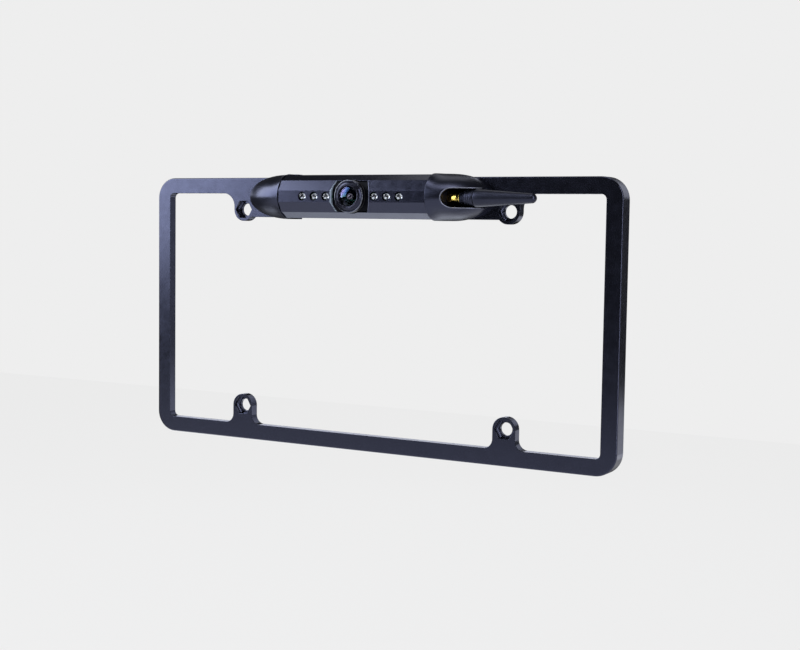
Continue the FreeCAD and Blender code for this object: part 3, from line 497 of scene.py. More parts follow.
def make_baffle():
    """The matt stepped funnel behind the glass, down to the pupil."""
    front = GLASS_REAR - 0.05 * MM
    rear = front - 2.6 * MM
    base = rear - 0.4 * MM
    wall = GLASS_SEAT - 0.06 * MM
    mouth = GLASS_SEAT - 0.30 * MM
    steps = 7
    profile = [(base, wall), (front, wall), (front, mouth)]
    for step in range(steps):
        wide = mouth - (mouth - PUPIL) * step / steps
        narrow = mouth - (mouth - PUPIL) * (step + 1) / steps
        depth = front - (front - rear) * (step + 1) / steps
        profile += [(depth, wide), (depth, narrow)]
    profile.append((base, PUPIL))
    mesh = lathe("lens_baffle", profile, view_point, bored=True, around=96, sharp=25.0)
    nodes = Nodes("baffle_black")
    cloud = nodes.noise(900.0, 3.0)
    nodes.feed(base=nodes.mottle(cloud, (0.0006, 0.0006, 0.0008), (0.0016, 0.0015, 0.0020)))
    nodes.set(gloss=0.12)
    nodes.feed(rough=nodes.spread(cloud, 0.78, 0.92))
    add_object("lens_baffle", mesh, "camera_bar", "block_black", ["lens_stop"], nodes.material)


def colour_ramp(nodes, source, stops):
    """A colour that runs through stops, each a place from 0 to 1 and a colour."""
    ramp = nodes.add("ShaderNodeValToRGB")
    while len(ramp.color_ramp.elements) < len(stops):
        ramp.color_ramp.elements.new(0.5)
    for element, (place, colour) in zip(ramp.color_ramp.elements, stops):
        element.position = place
        element.color = (*colour, 1.0)
    nodes.link(source, ramp.inputs["Fac"])
    return ramp.outputs["Color"]


def dome_painted_reflection_colour():
    """Front glass with its coating's reflection colour painted by place, running from violet through blue to green
    across it, and with painted shade darkening its lower part.
    """
    nodes = Nodes("dome_painted_reflection_colour")
    nodes.set(base=(0.92, 0.95, 1.0), through=1.0, ior=1.62, gloss=1.0)
    right, _, up = nodes.coordinates()
    waver = nodes.spread(nodes.noise(260.0, 2.0), -0.04, 0.04)
    lean = nodes.math("MULTIPLY", nodes.math("SUBTRACT", up, TILT.z), 0.35)
    slant = nodes.math("SUBTRACT", right, lean)
    across = nodes.spread(slant, 0.0, 1.0, start=-GLASS_RADIUS, end=GLASS_RADIUS)
    place = nodes.math("ADD", across, waver)
    upper = colour_ramp(nodes, place, [(0.00, (0.34, 0.10, 0.85)), (0.14, (0.34, 0.20, 0.95)),
                                       (0.24, (0.34, 0.36, 1.0)), (0.33, (0.10, 0.30, 1.0)),
                                       (0.45, (0.03, 0.16, 0.45)), (1.00, (0.02, 0.06, 0.12))])
    lower = colour_ramp(nodes, place, [(0.00, (0.30, 0.08, 0.80)), (0.14, (0.22, 0.18, 0.95)),
                                       (0.22, (0.08, 0.32, 0.85)), (0.30, (0.02, 0.36, 0.26)),
                                       (0.45, (0.01, 0.12, 0.09)), (1.00, (0.01, 0.05, 0.05))])
    height = nodes.spread(up, 0.0, 1.0, start=TILT.z - 0.5 * MM, end=TILT.z + 2.2 * MM)
    tone = nodes.blend(height, lower, upper)
    # Painted shade: below this height the reflections are tinted nearly black, blue on the left and green on the
    # right.
    shade = nodes.spread(up, 0.0, 1.0, start=TILT.z - 2.4 * MM, end=TILT.z - 0.9 * MM)
    green = nodes.spread(right, 0.0, 1.0, start=-2.0 * MM, end=1.5 * MM)
    painted_dark_tint = nodes.blend(green, (0.010, 0.025, 0.16), (0.004, 0.06, 0.045))
    nodes.feed(tint=nodes.blend(shade, painted_dark_tint, tone))
    nodes.feed(rough=nodes.spread(nodes.noise(700.0, 2.0), 0.03, 0.06))
    return nodes.material


def make_front_glass():
    """Domed front element, a shell whose rear face follows its front."""
    dip = sqrt(GLASS_CURVE ** 2 - GLASS_RADIUS ** 2)
    centre = in_front(edge_of("lens_bezel", 1, 0)) + NOSE * 0.35 - dip
    half = atan2(GLASS_RADIUS, dip)
    inner = GLASS_CURVE - GLASS_THICK
    inner_half = atan2(GLASS_RADIUS, sqrt(inner ** 2 - GLASS_RADIUS ** 2))
    profile = arc_points(centre, GLASS_CURVE, 0.0, half, 24)
    profile += arc_points(centre, inner, inner_half, 0.0, 24)
    mesh = lathe("front_lens_glass", profile, view_point, around=128, sharp=40.0)
    add_object("front_lens_glass", mesh, "camera_bar", "lens_glass", ["front_lens"],
               dome_painted_reflection_colour())


def coated_glass(name, deep, glow):
    """Dark inner element whose coating shines in one colour."""
    nodes = Nodes(name)
    nodes.set(rough=0.08, gloss=1.0, coat=1.0, coat_rough=0.04, coat_ior=1.7, coat_tint=glow,
              tint=glow)
    paler = tuple(value * 1.8 for value in deep)
    nodes.feed(base=nodes.mottle(nodes.noise(1500.0, 2.0), deep, paler))
    return nodes.material


def make_inner_glass():
    """The pupil in the middle of the baffle: a bright ring around a small violet element."""
    front = GLASS_REAR - 0.75 * MM
    sphere = 2.2 * MM
    inner = PUPIL - 0.30 * MM
    half = atan2(inner, sqrt(sphere ** 2 - inner ** 2))
    profile = arc_points(front - 0.05 * MM - sphere, sphere, 0.0, half, 10)
    profile += [(front - 2.0 * MM, inner), (front - 2.0 * MM, 0.0)]
    mesh = lathe("pupil_lens", profile, view_point, around=48)
    glow = coated_glass("pupil_coating", (0.012, 0.002, 0.020), (0.35, 0.12, 0.55))
    add_object("pupil_lens", mesh, "camera_bar", "lens_glass", ["rear_lens"], glow)
    back = front - 1.8 * MM
    outer = PUPIL - 0.02 * MM
    hole = inner + 0.02 * MM
    ring = [(back, outer), (front - 0.30 * MM, outer), (front, PUPIL - 0.10 * MM),
            (front + 0.02 * MM, PUPIL - 0.20 * MM), (front - 0.12 * MM, hole), (back, hole)]
    mesh = lathe("pupil_ring", ring, view_point, rounding=0.10 * MM, bored=True, around=64)
    grey = plain_plastic("pupil_ring_grey", (0.50, 0.46, 0.54), (0.62, 0.57, 0.66), 0.30)
    add_object("pupil_ring", mesh, "camera_bar", "lens_black", finish=grey)


# ---- the camera's window

FACET = radians(30)
BAR_CORNER = 12.95 * MM                   # from the axis to a corner of the bar
BAR_FLAT = BAR_CORNER * cos(FACET / 2)    # from the axis to the middle of a facet
BAR_BEND = BAR_CORNER * sin(FACET / 2)    # half the width of a facet
LINER_BORE = 10.1 * MM
WINDOW_HALF_WIDTH = 12.9 * MM
WINDOW_HALF_HEIGHT = 8.9 * MM
WINDOW_TAPER = 2.4 * MM


def bar_face(up):
    """How far the twelve-sided bar's surface lies in front of the axis at a height above it."""
    if abs(up) <= BAR_BEND:
        return BAR_FLAT
    return (BAR_FLAT - abs(up) * sin(FACET)) / cos(FACET)


def liner_face(up):
    """How far the bar's bore lies in front of the axis at a height above it."""
    return sqrt(LINER_BORE ** 2 - up ** 2)


def window_edge(up):
    """Half the window's width at a height above the axis: it narrows over the sloping facets."""
    if abs(up) <= BAR_BEND:
        return WINDOW_HALF_WIDTH
    share = (abs(up) - BAR_BEND) / (WINDOW_HALF_HEIGHT - BAR_BEND)
    return WINDOW_HALF_WIDTH - WINDOW_TAPER * share


def window_levels():
    """Heights at which the window's edge is drawn, with the bar's corners among them."""
    top = WINDOW_HALF_HEIGHT - 0.03 * MM
    steps = 6
    levels = [-top + (top - BAR_BEND) * step / steps for step in range(steps)]
    levels += [-BAR_BEND + BAR_BEND * 2 * step / steps for step in range(steps + 1)]
    levels += [BAR_BEND + (top - BAR_BEND) * step / steps for step in range(1, steps + 1)]
    return levels


def make_window_corners():
    """Webs that carry the bar's sloping facets into the corners of the window."""
    low = BAR_BEND + 0.02 * MM
    steps = 8
    for side, side_name in ((-1, "left"), (1, "right")):
        for level, level_name in ((-1, "lower"), (1, "upper")):
            rings = []
            for step in range(steps + 1):
                up = low + (WINDOW_HALF_HEIGHT - low) * step / steps
                face = TILT.y - bar_face(up)
                back = TILT.y - liner_face(up)
                height = TILT.z + up * level
                near = max(window_edge(up), WINDOW_HALF_WIDTH - WINDOW_TAPER) * side
                far = WINDOW_HALF_WIDTH * side
                rings.append([Vector((far, face, height)), Vector((near, face, height)),
                              Vector((near, back, height)), Vector((far, back, height))])
            name = f"window_corner_{level_name}_{side_name}"
            add_object(name, skin(name, rings, sharp=20.0), "camera_bar", "bar_black")


def make_block():
    """Camera block, its corners cut back to lie inside the bar's facets and the window's edge."""
    build = bmesh.new()
    build.from_mesh(frame["nodes"]["camera_block"].data)
    depth = BAR_FLAT - 0.7 * MM
    across = WINDOW_HALF_WIDTH - 0.4 * MM
    run = WINDOW_HALF_HEIGHT - BAR_BEND
    planes = []
    for level in (-1, 1):
        facing = Vector((0, -cos(FACET), sin(FACET) * level))
        planes.append((TILT + facing * depth, facing))
        for side in (-1, 1):
            facing = Vector((run * side, 0, WINDOW_TAPER * level)).normalized()
            place = Vector((across * side, TILT.y, TILT.z + BAR_BEND * level))
            planes.append((place, facing))
    bmesh.ops.remove_doubles(build, verts=build.verts, dist=1e-6)
    for place, facing in planes:
        geometry = build.verts[:] + build.edges[:] + build.faces[:]
        result = bmesh.ops.bisect_plane(build, geom=geometry, dist=1e-7, plane_co=place,
                                        plane_no=facing, clear_outer=True)
        cut = [item for item in result["geom_cut"] if isinstance(item, bmesh.types.BMEdge)]
        bmesh.ops.contextual_create(build, geom=cut)
    mesh = finish_mesh("camera_block_face", build, 25.0)
    mesh.materials.clear()
    add_object("camera_block_face", mesh, "camera_bar", "block_black", ["camera_block"])


def make_window_trim():
    """The milled edge of the window, bare of anodising: its left wall, and its right bevel, whose light colour is
    also a painted highlight along that edge.
    """
    bare = satin("milled_edge", (0.36, 0.45, 0.58), (0.46, 0.56, 0.70), 0.34, 3000.0, 0.010 * MM,
                 gloss=0.8, tint=(0.8, 0.9, 1.0))
    thick = 0.14 * MM
    levels = window_levels()
    rings = []
    for up in levels:
        wall = -window_edge(up) + 0.01 * MM
        outside = TILT.y - bar_face(up) + 0.12 * MM
        inside = TILT.y - liner_face(up)
        height = TILT.z + up
        rings.append([Vector((wall, outside, height)),
                      Vector((wall + thick, outside + thick, height)),
                      Vector((wall + thick, inside, height)), Vector((wall, inside, height))])
    add_object("window_wall", skin("window_wall", rings), "camera_bar", "bar_black", finish=bare)
    inset = 0.04 * MM
    path = [Vector((window_edge(up) + inset, TILT.y - bar_face(up) + inset, TILT.z + up))
            for up in levels]
    # The bevel's light colour is partly the bare milled metal and partly a painted highlight along the window's
    # right edge.
    bead = satin("window_bevel_painted_highlight", (0.10, 0.11, 0.16), (0.16, 0.17, 0.24), 0.22, 3000.0, 0.004 * MM)
    add_object("window_bevel_painted_highlight", sweep("window_bevel_painted_highlight", path, 0.13 * MM), "camera_bar", "bar_black",
               finish=bead)


def sweep(name, path, radius, around=10):
    """A round bead along a path of points."""
    turns = [2 * pi * turn / around for turn in range(around)]
    rings = []
    for index, point in enumerate(path):
        before = path[max(index - 1, 0)]
        after = path[min(index + 1, len(path) - 1)]
        along = (after - before).normalized()
        side = along.cross(Vector((0, 1, 0)))
        if side.length < 1e-3:
            side = along.cross(Vector((0, 0, 1)))
        side.normalize()
        other = along.cross(side)
        rings.append([point + (side * cos(turn) + other * sin(turn)) * radius for turn in turns])
    return skin(name, rings)


# ---- the antenna slot

SLOT_WALL = 58.0 * MM
SLOT_HALF = 5.4 * MM


def make_slot_rim():
    """The rolled lip around the antenna slot, laid on the cap's own surface, and coloured lighter than the cap as
    a painted highlight.
    """
    cap = frame["nodes"]["right_end_cap"]
    reach = SLOT_HALF + 0.16 * MM
    middle = SLOT_WALL + SLOT_HALF
    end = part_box("right_end_cap")[1].x - 0.5 * MM
    steps = 40
    turns = 36
    places = [(end - (end - middle) * step / steps, -reach) for step in range(steps + 1)]
    for step in range(1, turns):
        angle = -pi / 2 - pi * step / turns
        places.append((middle + reach * cos(angle), reach * sin(angle)))
    places += [(middle + (end - middle) * step / steps, reach) for step in range(steps + 1)]
    far = 60 * MM
    path = []
    for along, up in places:
        start = Vector((along, TILT.y - far, ANTENNA.z + up))
        hit, point, normal, _ = cap.ray_cast(start, Vector((0, 1, 0)), distance=far + 2 * MM)
        if hit:
            path.append(point - normal * 0.10 * MM)
    # The lip's light colour is a painted highlight: the line of light that its rounding catches.
    lip = satin("slot_lip_painted_highlight", (0.095, 0.10, 0.125), (0.13, 0.135, 0.16), 0.26, 4200.0, 0.004 * MM)
    add_object("slot_rim", sweep("slot_rim", path, 0.30 * MM), "root", "cap_black", finish=lip)


# ---- the lamps

LAMP_FIRST = 16.0 * MM
LAMP_PITCH = 8.0 * MM
LAMP_RADIUS = 2.45 * MM
LAMPS_PER_SIDE = 3


def make_lamps():
    """Clear lamps: domed epoxy around a silvered cup that holds a die."""
    low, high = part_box("ir_lamps")
    tip = in_front(low.y)
    seat = in_front(high.y)
    flange = (high.z - low.z) / 2
    brim = seat + 0.9 * MM
    silver = metal("cup_silver", (0.84, 0.88, 0.95), (0.93, 0.96, 1.0), 0.15)
    die = plain_plastic("die_dark", (0.012, 0.010, 0.014), (0.03, 0.02, 0.03), 0.3)
    centre = tip - LAMP_RADIUS
    dome = arc_points(centre, LAMP_RADIUS, 0.0, pi / 2, 14)
    dome += [(brim, LAMP_RADIUS), (brim, flange), (seat, flange), (seat, 0.0)]
    cup = [(centre + 0.10 * MM, 1.25 * MM), (centre - 0.65 * MM, 0.62 * MM),
           (centre - 0.65 * MM, 0.0), (centre - 1.0 * MM, 0.0), (centre - 1.0 * MM, 0.70 * MM),
           (centre - 0.2 * MM, 1.40 * MM)]
    chip = [(centre - 0.40 * MM, 0.0), (centre - 0.40 * MM, 0.26 * MM),
            (centre - 0.66 * MM, 0.26 * MM), (centre - 0.66 * MM, 0.0)]
    replaced = ["ir_lamps"]
    number = 0
    for side in (-1, 1):
        for step in range(LAMPS_PER_SIDE):
            number += 1
            across = (LAMP_FIRST + LAMP_PITCH * step) * side
            mesh = lathe("lamp_dome", dome, view_point, around=48, sharp=50.0, across=across)
            add_object(f"lamp_dome_{number}", mesh, "camera_bar", "lamp_clear", replaced)
            replaced = []
            mesh = lathe("lamp_cup", cup, view_point, bored=True, around=32, across=across)
            add_object(f"lamp_cup_{number}", mesh, "camera_bar", "can_steel", finish=silver)
            mesh = lathe("lamp_die", chip, view_point, around=4, across=across)
            add_object(f"lamp_die_{number}", mesh, "camera_bar", "chip_black", finish=die)


# ---- the antenna

SLEEVE_TIP = 2.7 * MM
SLEEVE_SHOULDER = 1.0 * MM
FERRULE_BORE = 3.275 * MM
KNURL_RIDGES = 28
KNURL_DEPTH = 0.14 * MM
THREAD = 6.35 / 2 * MM
THREAD_PITCH = 0.706 * MM
THREAD_DEPTH = 0.36 * MM
THREAD_LENGTH = 3.2 * MM    # in front of the nut
JACK_BORE = 2.3 * MM
JACK_FLAT = 4.0 * MM        # half the width across the hexagon's flats
WASHER_TEETH = 12


def fluted(name, start, end, radius_at, bore, around, along, sharp=35.0):
    """A bored piece on the antenna axis whose outer radius varies with place and angle."""
    angles = [2 * pi * turn / around for turn in range(around)]
    rings = []
    for step in range(along + 1):
        place = start + (end - start) * step / along
        rings.append([antenna_point(place, radius_at(place, angle), angle) for angle in angles])
    for place in (end, start):
        rings.append([antenna_point(place, bore, angle) for angle in angles])
    return skin(name, rings, looped=True, sharp=sharp)


def make_sleeve():
    """Antenna sleeve: a soft shoulder, a slight taper and a round tip."""
    low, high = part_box("antenna_sleeve")
    thick = (high.z - low.z) / 2
    straight = high.x - SLEEVE_TIP
    steps = 10
    bends = 6
    profile = [(low.x, 0.0)]
    for step in range(bends + 1):
        angle = pi / 2 * step / bends
        profile.append((low.x + SLEEVE_SHOULDER * (1 - cos(angle)),
                        thick - SLEEVE_SHOULDER * (1 - sin(angle))))
    for step in range(1, steps + 1):
        share = step / steps
        profile.append((low.x + SLEEVE_SHOULDER + (straight - low.x - SLEEVE_SHOULDER) * share,
                        thick - (thick - SLEEVE_TIP) * share))
    profile += reversed(arc_points(straight, SLEEVE_TIP, 0.0, pi / 2, steps)[:-1])
    mesh = lathe("antenna_sleeve_shell", profile, antenna_point, sharp=60.0)
    add_object("antenna_sleeve_shell", mesh, "antenna", "antenna_black",
               ["antenna_sleeve", "antenna_rod"])


def make_collar():
    """Antenna collar with its grip grooves."""
    low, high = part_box("antenna_collar")
    radius = (high.z - low.z) / 2
    bore = 3.4 * MM
    groove = 0.22 * MM
    rings = 3
    profile = [(low.x, bore), (low.x, radius - 0.35 * MM), (low.x + 0.35 * MM, radius)]
    pitch = (high.x - low.x - 1.6 * MM) / rings
    for step in range(rings):
        place = low.x + 1.0 * MM + pitch * step
        profile += [(place, radius), (place + groove, radius - groove),
                    (place + groove * 2, radius)]
    profile += [(high.x - 0.05 * MM, radius), (high.x, radius - 0.2 * MM), (high.x, bore)]
    mesh = lathe("antenna_collar_ring", profile, antenna_point, rounding=0.06 * MM, bored=True)
    add_object("antenna_collar_ring", mesh, "antenna", "antenna_black", ["antenna_collar"])


def make_ferrule():
    """Brass lip of the antenna's ferrule, and the knurled neck between it and the collar."""
    low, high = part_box("antenna_ferrule")
    radius = (high.z - low.z) / 2
    lip = low.x + 1.3 * MM
    profile = [(low.x, FERRULE_BORE), (low.x, radius - 0.5 * MM),
               (low.x + 0.2 * MM, radius - 0.25 * MM), (low.x + 0.5 * MM, radius - 0.25 * MM),
               (low.x + 0.6 * MM, radius), (lip, radius), (lip, FERRULE_BORE)]
    mesh = lathe("antenna_ferrule_lip", profile, antenna_point, rounding=0.12 * MM, bored=True,
                 around=96)
    add_object("antenna_ferrule_lip", mesh, "antenna", "brass", ["antenna_ferrule"])
    neck = radius - 0.15 * MM

    def knurled(place, angle):
        middle = 1 - abs((place - lip) / (high.x - lip) * 2 - 1)
        depth = KNURL_DEPTH * min(1.0, middle * 4)
        return neck - depth * (0.5 + 0.5 * cos(angle * KNURL_RIDGES))

    mesh = fluted("antenna_neck", lip + 0.02 * MM, high.x, knurled, FERRULE_BORE,
                  KNURL_RIDGES * 6, 12)
    add_object("antenna_neck", mesh, "antenna", "antenna_black")


def hexagon(place, angle, chamfer_at):
    """Radius of a hexagon whose corners are chamfered at one end."""
    sector = (angle - radians(30)) % radians(60) - radians(30)
    limit = JACK_FLAT * 1.02 + abs(place - chamfer_at) * 0.6
    return min(JACK_FLAT / cos(sector), limit, JACK_FLAT / cos(radians(30)))


def make_jack():
    """Threaded brass jack with a chamfered hexagonal head."""
    low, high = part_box("antenna_jack")
    start = edge_of("jack_nut", 0, 0) - THREAD_LENGTH

    def threaded(place, angle):
        turn = (place - start) / THREAD_PITCH - angle / (2 * pi)
        return THREAD - THREAD_DEPTH * abs((turn - floor(turn)) * 2 - 1)

    mesh = fluted("antenna_jack_thread", start, high.x, threaded, JACK_BORE, 48, 150, sharp=60.0)
    add_object("antenna_jack_thread", mesh, "root", "brass")
    mesh = fluted("antenna_jack_head", low.x, start,
                  lambda place, angle: hexagon(place, angle, low.x), JACK_BORE, 96, 6, sharp=25.0)
    add_object("antenna_jack_head", mesh, "root", "brass", ["antenna_jack"])


def make_jack_fixings():
    """The jack's chamfered nut and toothed lock washer, in dull brass."""
    low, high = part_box("jack_nut")
    mesh = fluted("jack_nut_hex", low.x, high.x,
                  lambda place, angle: hexagon(place, angle, high.x), THREAD + 0.02 * MM, 96, 6,
                  sharp=25.0)
    dull = metal("dull_brass", (0.10, 0.07, 0.03), (0.22, 0.15, 0.05), 0.28, turned=True,
                 depth=0.001 * MM)
    add_object("jack_nut_hex", mesh, "root", "brass", ["jack_nut"], dull)
    washer_low, washer_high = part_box("jack_washer")
    wide = (washer_high.z - washer_low.z) / 2

    def toothed(place, angle):
        return wide - 0.35 * MM * (0.5 + 0.5 * cos(angle * WASHER_TEETH))

    mesh = fluted("jack_lock_washer", washer_low.x + 0.08 * MM, washer_high.x, toothed,
                  THREAD + 0.05 * MM, WASHER_TEETH * 8, 2, sharp=25.0)
    add_object("jack_lock_washer", mesh, "root", "brass", ["jack_washer"], dull)


# ---- the bolt tabs

BOLT_ACROSS = 177.8 / 2 * MM
BOLT_UP = 120.65 / 2 * MM
NUT_FLAT = 5.2 * MM
NUT_FLOOR = -2.0 * MM


def make_nut_fillets():
    """Rounded foot of the hexagonal recess in each of the four bolt tabs, on its left side."""
    foot = 1.5 * MM
    steps = 6
    section = [(NUT_FLAT, NUT_FLOOR), (NUT_FLAT, NUT_FLOOR - foot)]
    for step in range(1, steps):
        bend = pi / 2 * step / steps
        section.append((NUT_FLAT - foot * (1 - cos(bend)), NUT_FLOOR - foot * (1 - sin(bend))))
    section.append((NUT_FLAT - foot, NUT_FLOOR))
    outline = [(out / cos(radians(30)), depth) for out, depth in section]
    number = 0
    for across in (-BOLT_ACROSS, BOLT_ACROSS):
        for up in (-BOLT_UP, BOLT_UP):
            number += 1
            rings = []
            for corner in (2, 3, 4):
                angle = radians(60) * corner
                rings.append([Vector((across + out * cos(angle), depth, up + out * sin(angle)))
                              for out, depth in outline])
            mesh = skin("nut_fillet", rings, sharp=50.0)
            add_object(f"nut_fillet_{number}", mesh, "root", "frame_black")


# ---- the back of the frame

def back_point(along, out, angle, across=0.0, up=0.0):
    """A point around a line along Y, at a place on the back of the frame."""
    return Vector((across + out * cos(angle), along, up + out * sin(angle)))


def make_cap_screws():
    """Countersunk screws with a cross recess, two for each end cap."""
    low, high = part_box("cap_screws")
    head = 2.5 * MM
    shank = 1.25 * MM
    core = shank - 0.25 * MM
    top = high.y
    neck = top - head + shank
    turns = 9
    pitch = (neck - low.y - 1.0 * MM) / turns
    profile = [(top - 0.02 * MM, 0.0), (top, head - 0.05 * MM), (top - 0.12 * MM, head),
               (neck, shank)]
    for step in range(turns):
        start = neck - pitch * step
        profile += [(start - pitch * 0.3, shank), (start - pitch * 0.5, core),
                    (start - pitch * 0.7, core), (start - pitch, shank)]
    profile.append((low.y, 0.0))
    across = (high.x - low.x) / 2 - head
    spread = (high.z - low.z) / 2 - head
    middle = (high.z + low.z) / 2
    replaced = ["cap_screws"]
    number = 0
    for side in (-1, 1):
        for level in (-1, 1):
            number += 1
            place = {"across": across * side, "up": middle + spread * level}
            mesh = lathe("cap_screw", profile, back_point, around=32, **place)
            screw = add_object(f"cap_screw_{number}", mesh, "root", "screw_steel", replaced)
            replaced = []
            cut_cross(screw, top, place)


def cut_cross(screw, top, place):
    """Cut a tapered cross recess into a screw head."""
    build = bmesh.new()
    long, thick, deep = 1.35 * MM, 0.32 * MM, 1.3 * MM
    for first, second in ((long, thick), (thick, long)):
        arm = [(-first, -second), (first, -second), (first, second), (-first, second)]
        outer = [build.verts.new((place["across"] + x, top + 0.1 * MM, place["up"] + z))
                 for x, z in arm]
        inner = [build.verts.new((place["across"] + x * 0.45, top - deep, place["up"] + z * 0.6))
                 for x, z in arm]
        build.faces.new(outer)
        build.faces.new(inner)
        for step in range(4):
            after = (step + 1) % 4
            build.faces.new((outer[step], outer[after], inner[after], inner[step]))
    cutter = link_object("cross_cutter", plain_mesh("cross_cutter", build))
    boolean = screw.modifiers.new("cross", "BOOLEAN")
    boolean.operation = "DIFFERENCE"
    boolean.use_self = True
    boolean.object = cutter
    bpy.context.view_layer.update()
    shaped = bpy.data.meshes.new_from_object(
        screw.evaluated_get(bpy.context.evaluated_depsgraph_get()))
    screw.modifiers.clear()
    screw.data = shaped
    bpy.data.objects.remove(cutter)


def make_gland():
    """Rubber gland with two ribs around its mouth."""
    low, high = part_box("cable_gland")
    across = (low.x + high.x) / 2
    up = (low.z + high.z) / 2
    flange = (high.x - low.x) / 2
    bore = 1.8 * MM
    seat = 3.95 * MM
    face = low.y + 1.2 * MM
    profile = [(low.y, bore), (low.y, flange), (face, flange), (face, seat), (high.y, seat),
               (high.y, seat - 0.9 * MM), (high.y - 0.6 * MM, seat - 1.1 * MM),
               (high.y - 0.6 * MM, bore + 0.7 * MM), (high.y - 0.1 * MM, bore + 0.5 * MM),
               (high.y - 0.1 * MM, bore)]
    mesh = lathe("cable_gland_ring", profile, back_point, rounding=0.18 * MM, bored=True,
                 across=across, up=up)
    add_object("cable_gland_ring", mesh, "root", "soft_rubber", ["cable_gland"])


# ---- floor, lights and camera

PALE = (0.855, 0.855, 0.855, 1)    # the floor and the surroundings in the picture
ROOM_IN_GLOSS = 0.03
ROOM_ON_MATT = 0.5
FLOOR_DROP = 0.30
FLOOR_HALF = (3.0, 2.1)
FLOOR_SHARE = 0.94    # share of the even tone; the rest takes soft shadows
FLOOR_SLANT = 0.8     # how far the left one of three edges slants, where reflections lose the floor
FLOOR_LEFT = (-0.62, -0.32)
FLOOR_FRONT = (-2.2, -1.9)
FLOOR_BACK = (1.7, 2.1)
WHITE = (1.0, 1.0, 1.0)
COOL = (0.85, 0.88, 1.0)


def pale_surface(name, share):
    """Pale matt surface that the camera sees at an even tone, with soft shadows; in reflections it is an even
    painted glow that fades out past three edges.
    """
    nodes = Nodes(name)
    nodes.feed(base=nodes.mottle(nodes.noise(3.0), (0.80, 0.80, 0.80), (0.82, 0.82, 0.82)))
    nodes.set(rough=0.9, gloss=0.0)
    glow = nodes.add("ShaderNodeEmission", {"Color": PALE})
    # Painted light: reflections see the floor glow like a lamp, only inside a left, a front and a back edge.
    right, deep, _ = nodes.coordinates()
    slant = nodes.math("SUBTRACT", right, nodes.math("MULTIPLY", deep, FLOOR_SLANT))
    left = nodes.spread(slant, 0.0, 1.0, *FLOOR_LEFT)
    front = nodes.spread(deep, 0.0, 1.0, *FLOOR_FRONT)
    back = nodes.spread(deep, 1.0, 0.0, *FLOOR_BACK)
    glow_region = nodes.math("MULTIPLY", left, nodes.math("MULTIPLY", front, back))
    ray = nodes.add("ShaderNodeLightPath")
    nodes.link(nodes.math("MAXIMUM", glow_region, ray.outputs["Is Camera Ray"]), glow.inputs["Strength"])
    seen = nodes.math("MAXIMUM", ray.outputs["Is Camera Ray"], ray.outputs["Is Glossy Ray"])
    seen = nodes.math("MAXIMUM", seen, ray.outputs["Is Transmission Ray"])
    weight = nodes.math("MULTIPLY", seen, share)
    mix = nodes.add("ShaderNodeMixShader")
    nodes.link(weight, mix.inputs["Fac"])
    nodes.link(nodes.shader.outputs["BSDF"], mix.inputs[1])
    nodes.link(glow.outputs["Emission"], mix.inputs[2])
    nodes.link(mix.outputs["Shader"], nodes.output.inputs["Surface"])
    return nodes.material


def make_floor():
    """One plain pale floor, well below the object."""
    level = cad_box[0][2] - FLOOR_DROP
    build = bmesh.new()
    wide, deep = FLOOR_HALF
    corners = [(-wide, -deep), (wide, -deep), (wide, deep), (-wide, deep)]
    build.faces.new([build.verts.new((x, y, level)) for x, y in corners])
    mesh = plain_mesh("floor", build)
    floor_object = link_object("floor", mesh)
    mesh.materials.append(pale_surface("pale_floor", FLOOR_SHARE))


def make_world():
    """Pale surroundings to the camera, and dim ones to everything else."""
    world = bpy.data.worlds.new("studio")
    bpy.context.scene.world = world
    world.use_nodes = True
    tree = world.node_tree
    tree.nodes.clear()
    seen = tree.nodes.new("ShaderNodeBackground")
    seen.inputs["Color"].default_value = PALE
    room = tree.nodes.new("ShaderNodeBackground")
    room.inputs["Color"].default_value = (*WHITE, 1)
    ray = tree.nodes.new("ShaderNodeLightPath")
    level = tree.nodes.new("ShaderNodeMapRange")
    level.inputs["To Min"].default_value = ROOM_IN_GLOSS
    level.inputs["To Max"].default_value = ROOM_ON_MATT
    tree.links.new(ray.outputs["Is Diffuse Ray"], level.inputs["Value"])
    tree.links.new(level.outputs["Result"], room.inputs["Strength"])
    mix = tree.nodes.new("ShaderNodeMixShader")
    output = tree.nodes.new("ShaderNodeOutputWorld")
    tree.links.new(ray.outputs["Is Camera Ray"], mix.inputs["Fac"])
    tree.links.new(room.outputs["Background"], mix.inputs[1])
    tree.links.new(seen.outputs["Background"], mix.inputs[2])
    tree.links.new(mix.outputs["Shader"], output.inputs["Surface"])


def add_softbox(name, azimuth, elevation, across, tall, radiance, distance=1.5, colour=WHITE):
    """Rectangular lamp at an angle left of straight in front and above level, aimed at the object.

    Its size is given by the angles that it covers across and up, and its strength by how bright
    it looks, where 1 is white."""
    width = 2 * distance * tan(radians(across / 2))
    height = 2 * distance * tan(radians(tall / 2))
    turn = radians(azimuth)
    rise = radians(elevation)
    direction = Vector((-sin(turn) * cos(rise), -cos(turn) * cos(rise), sin(rise)))
    data = bpy.data.lights.new(name, "AREA")
    data.shape = "RECTANGLE"
    data.size = width
    data.size_y = height
    data.energy = radiance * pi * width * height
    data.color = colour
    lamp = link_object(name, data)
    lamp.location = direction * distance
    lamp.rotation_euler = (-direction).to_track_quat("-Z", "Y").to_euler()
    lamp.visible_camera = False


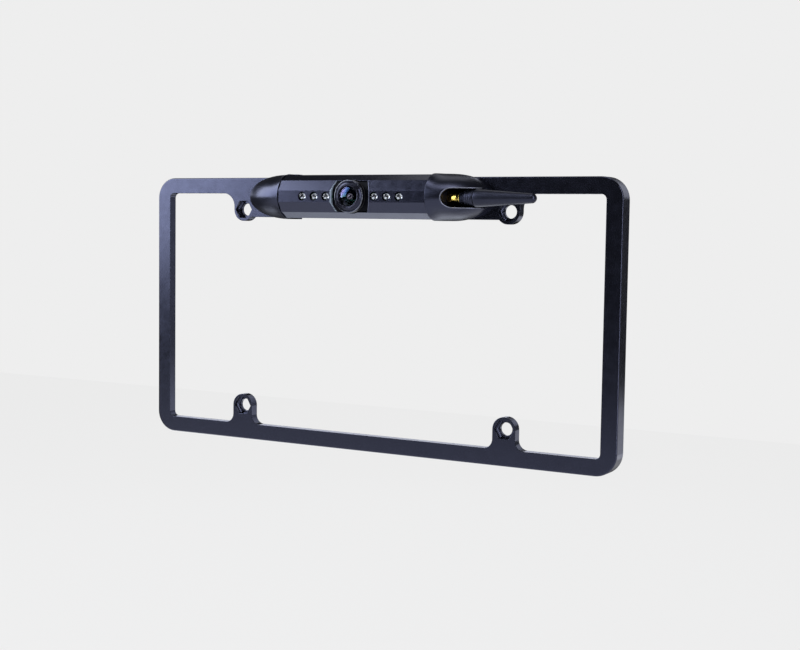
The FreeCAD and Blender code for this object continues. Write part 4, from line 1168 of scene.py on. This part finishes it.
def make_lights():
    """A large soft key from the left, small lamps on the right and behind, and a card below.

    Each row gives azimuth, elevation, the angles covered across and up, and the radiance."""
    add_softbox("key", 59.0, 23.75, 47.0, 48.5, 5.0, colour=(0.88, 0.92, 1.0))
    add_softbox("side", -62.0, 17.0, 14.0, 56.0, 6.0)
    add_softbox("top_right", 0.0, 70.0, 22.0, 22.0, 3.5)
    add_softbox("behind_low", 150.0, 6.0, 30.0, 13.0, 1.5, colour=COOL)
    add_softbox("behind_right", 201.0, 22.5, 26.0, 29.0, 0.9, colour=COOL)
    add_softbox("behind_side", 216.5, 2.5, 8.0, 15.0, 0.9, colour=COOL)
    add_softbox("behind_top", 176.0, 31.0, 24.0, 14.0, 0.9, colour=COOL)
    add_softbox("top_behind", 152.0, 54.0, 22.0, 24.0, 0.6)
    add_softbox("behind_floor", 200.0, -15.5, 34.0, 11.0, 0.85, 0.72, (0.88, 0.90, 1.0))
    add_softbox("card", 130.0, -47.0, 62.0, 36.0, 1.1, 0.45, (0.90, 0.95, 1.0))


EYE = Vector((0.405490, -0.689002, 0.052804))
EYE_TURN = 29.29548
EYE_PITCH = -4.23384
EYE_ROLL = -0.824508
EYE_LENS = 61.4015
EYE_SENSOR = 36.0


def make_camera():
    """The camera, right of the object's middle and level with its top rail."""
    data = bpy.data.cameras.new("camera")
    data.lens = EYE_LENS
    data.sensor_width = EYE_SENSOR
    data.clip_start = 0.01
    data.dof.use_dof = False
    camera = link_object("camera", data)
    place = Matrix.Translation(EYE)
    for angle, axis in ((EYE_TURN, "Z"), (EYE_PITCH, "X"), (EYE_ROLL, "Y"), (90.0, "X")):
        place = place @ Matrix.Rotation(radians(angle), 4, axis)
    camera.matrix_world = place
    bpy.context.scene.camera = camera


# ---- build

dress_nodes()
make_bezel()
make_barrel()
make_baffle()
make_front_glass()
make_inner_glass()
make_window_corners()
make_block()
make_window_trim()
make_slot_rim()
make_lamps()
make_sleeve()
make_collar()
make_ferrule()
make_jack()
make_jack_fixings()
make_cap_screws()
make_gland()
make_nut_fillets()
make_floor()
make_world()
make_lights()
make_camera()
bpy.context.scene.view_settings.view_transform = "Standard"
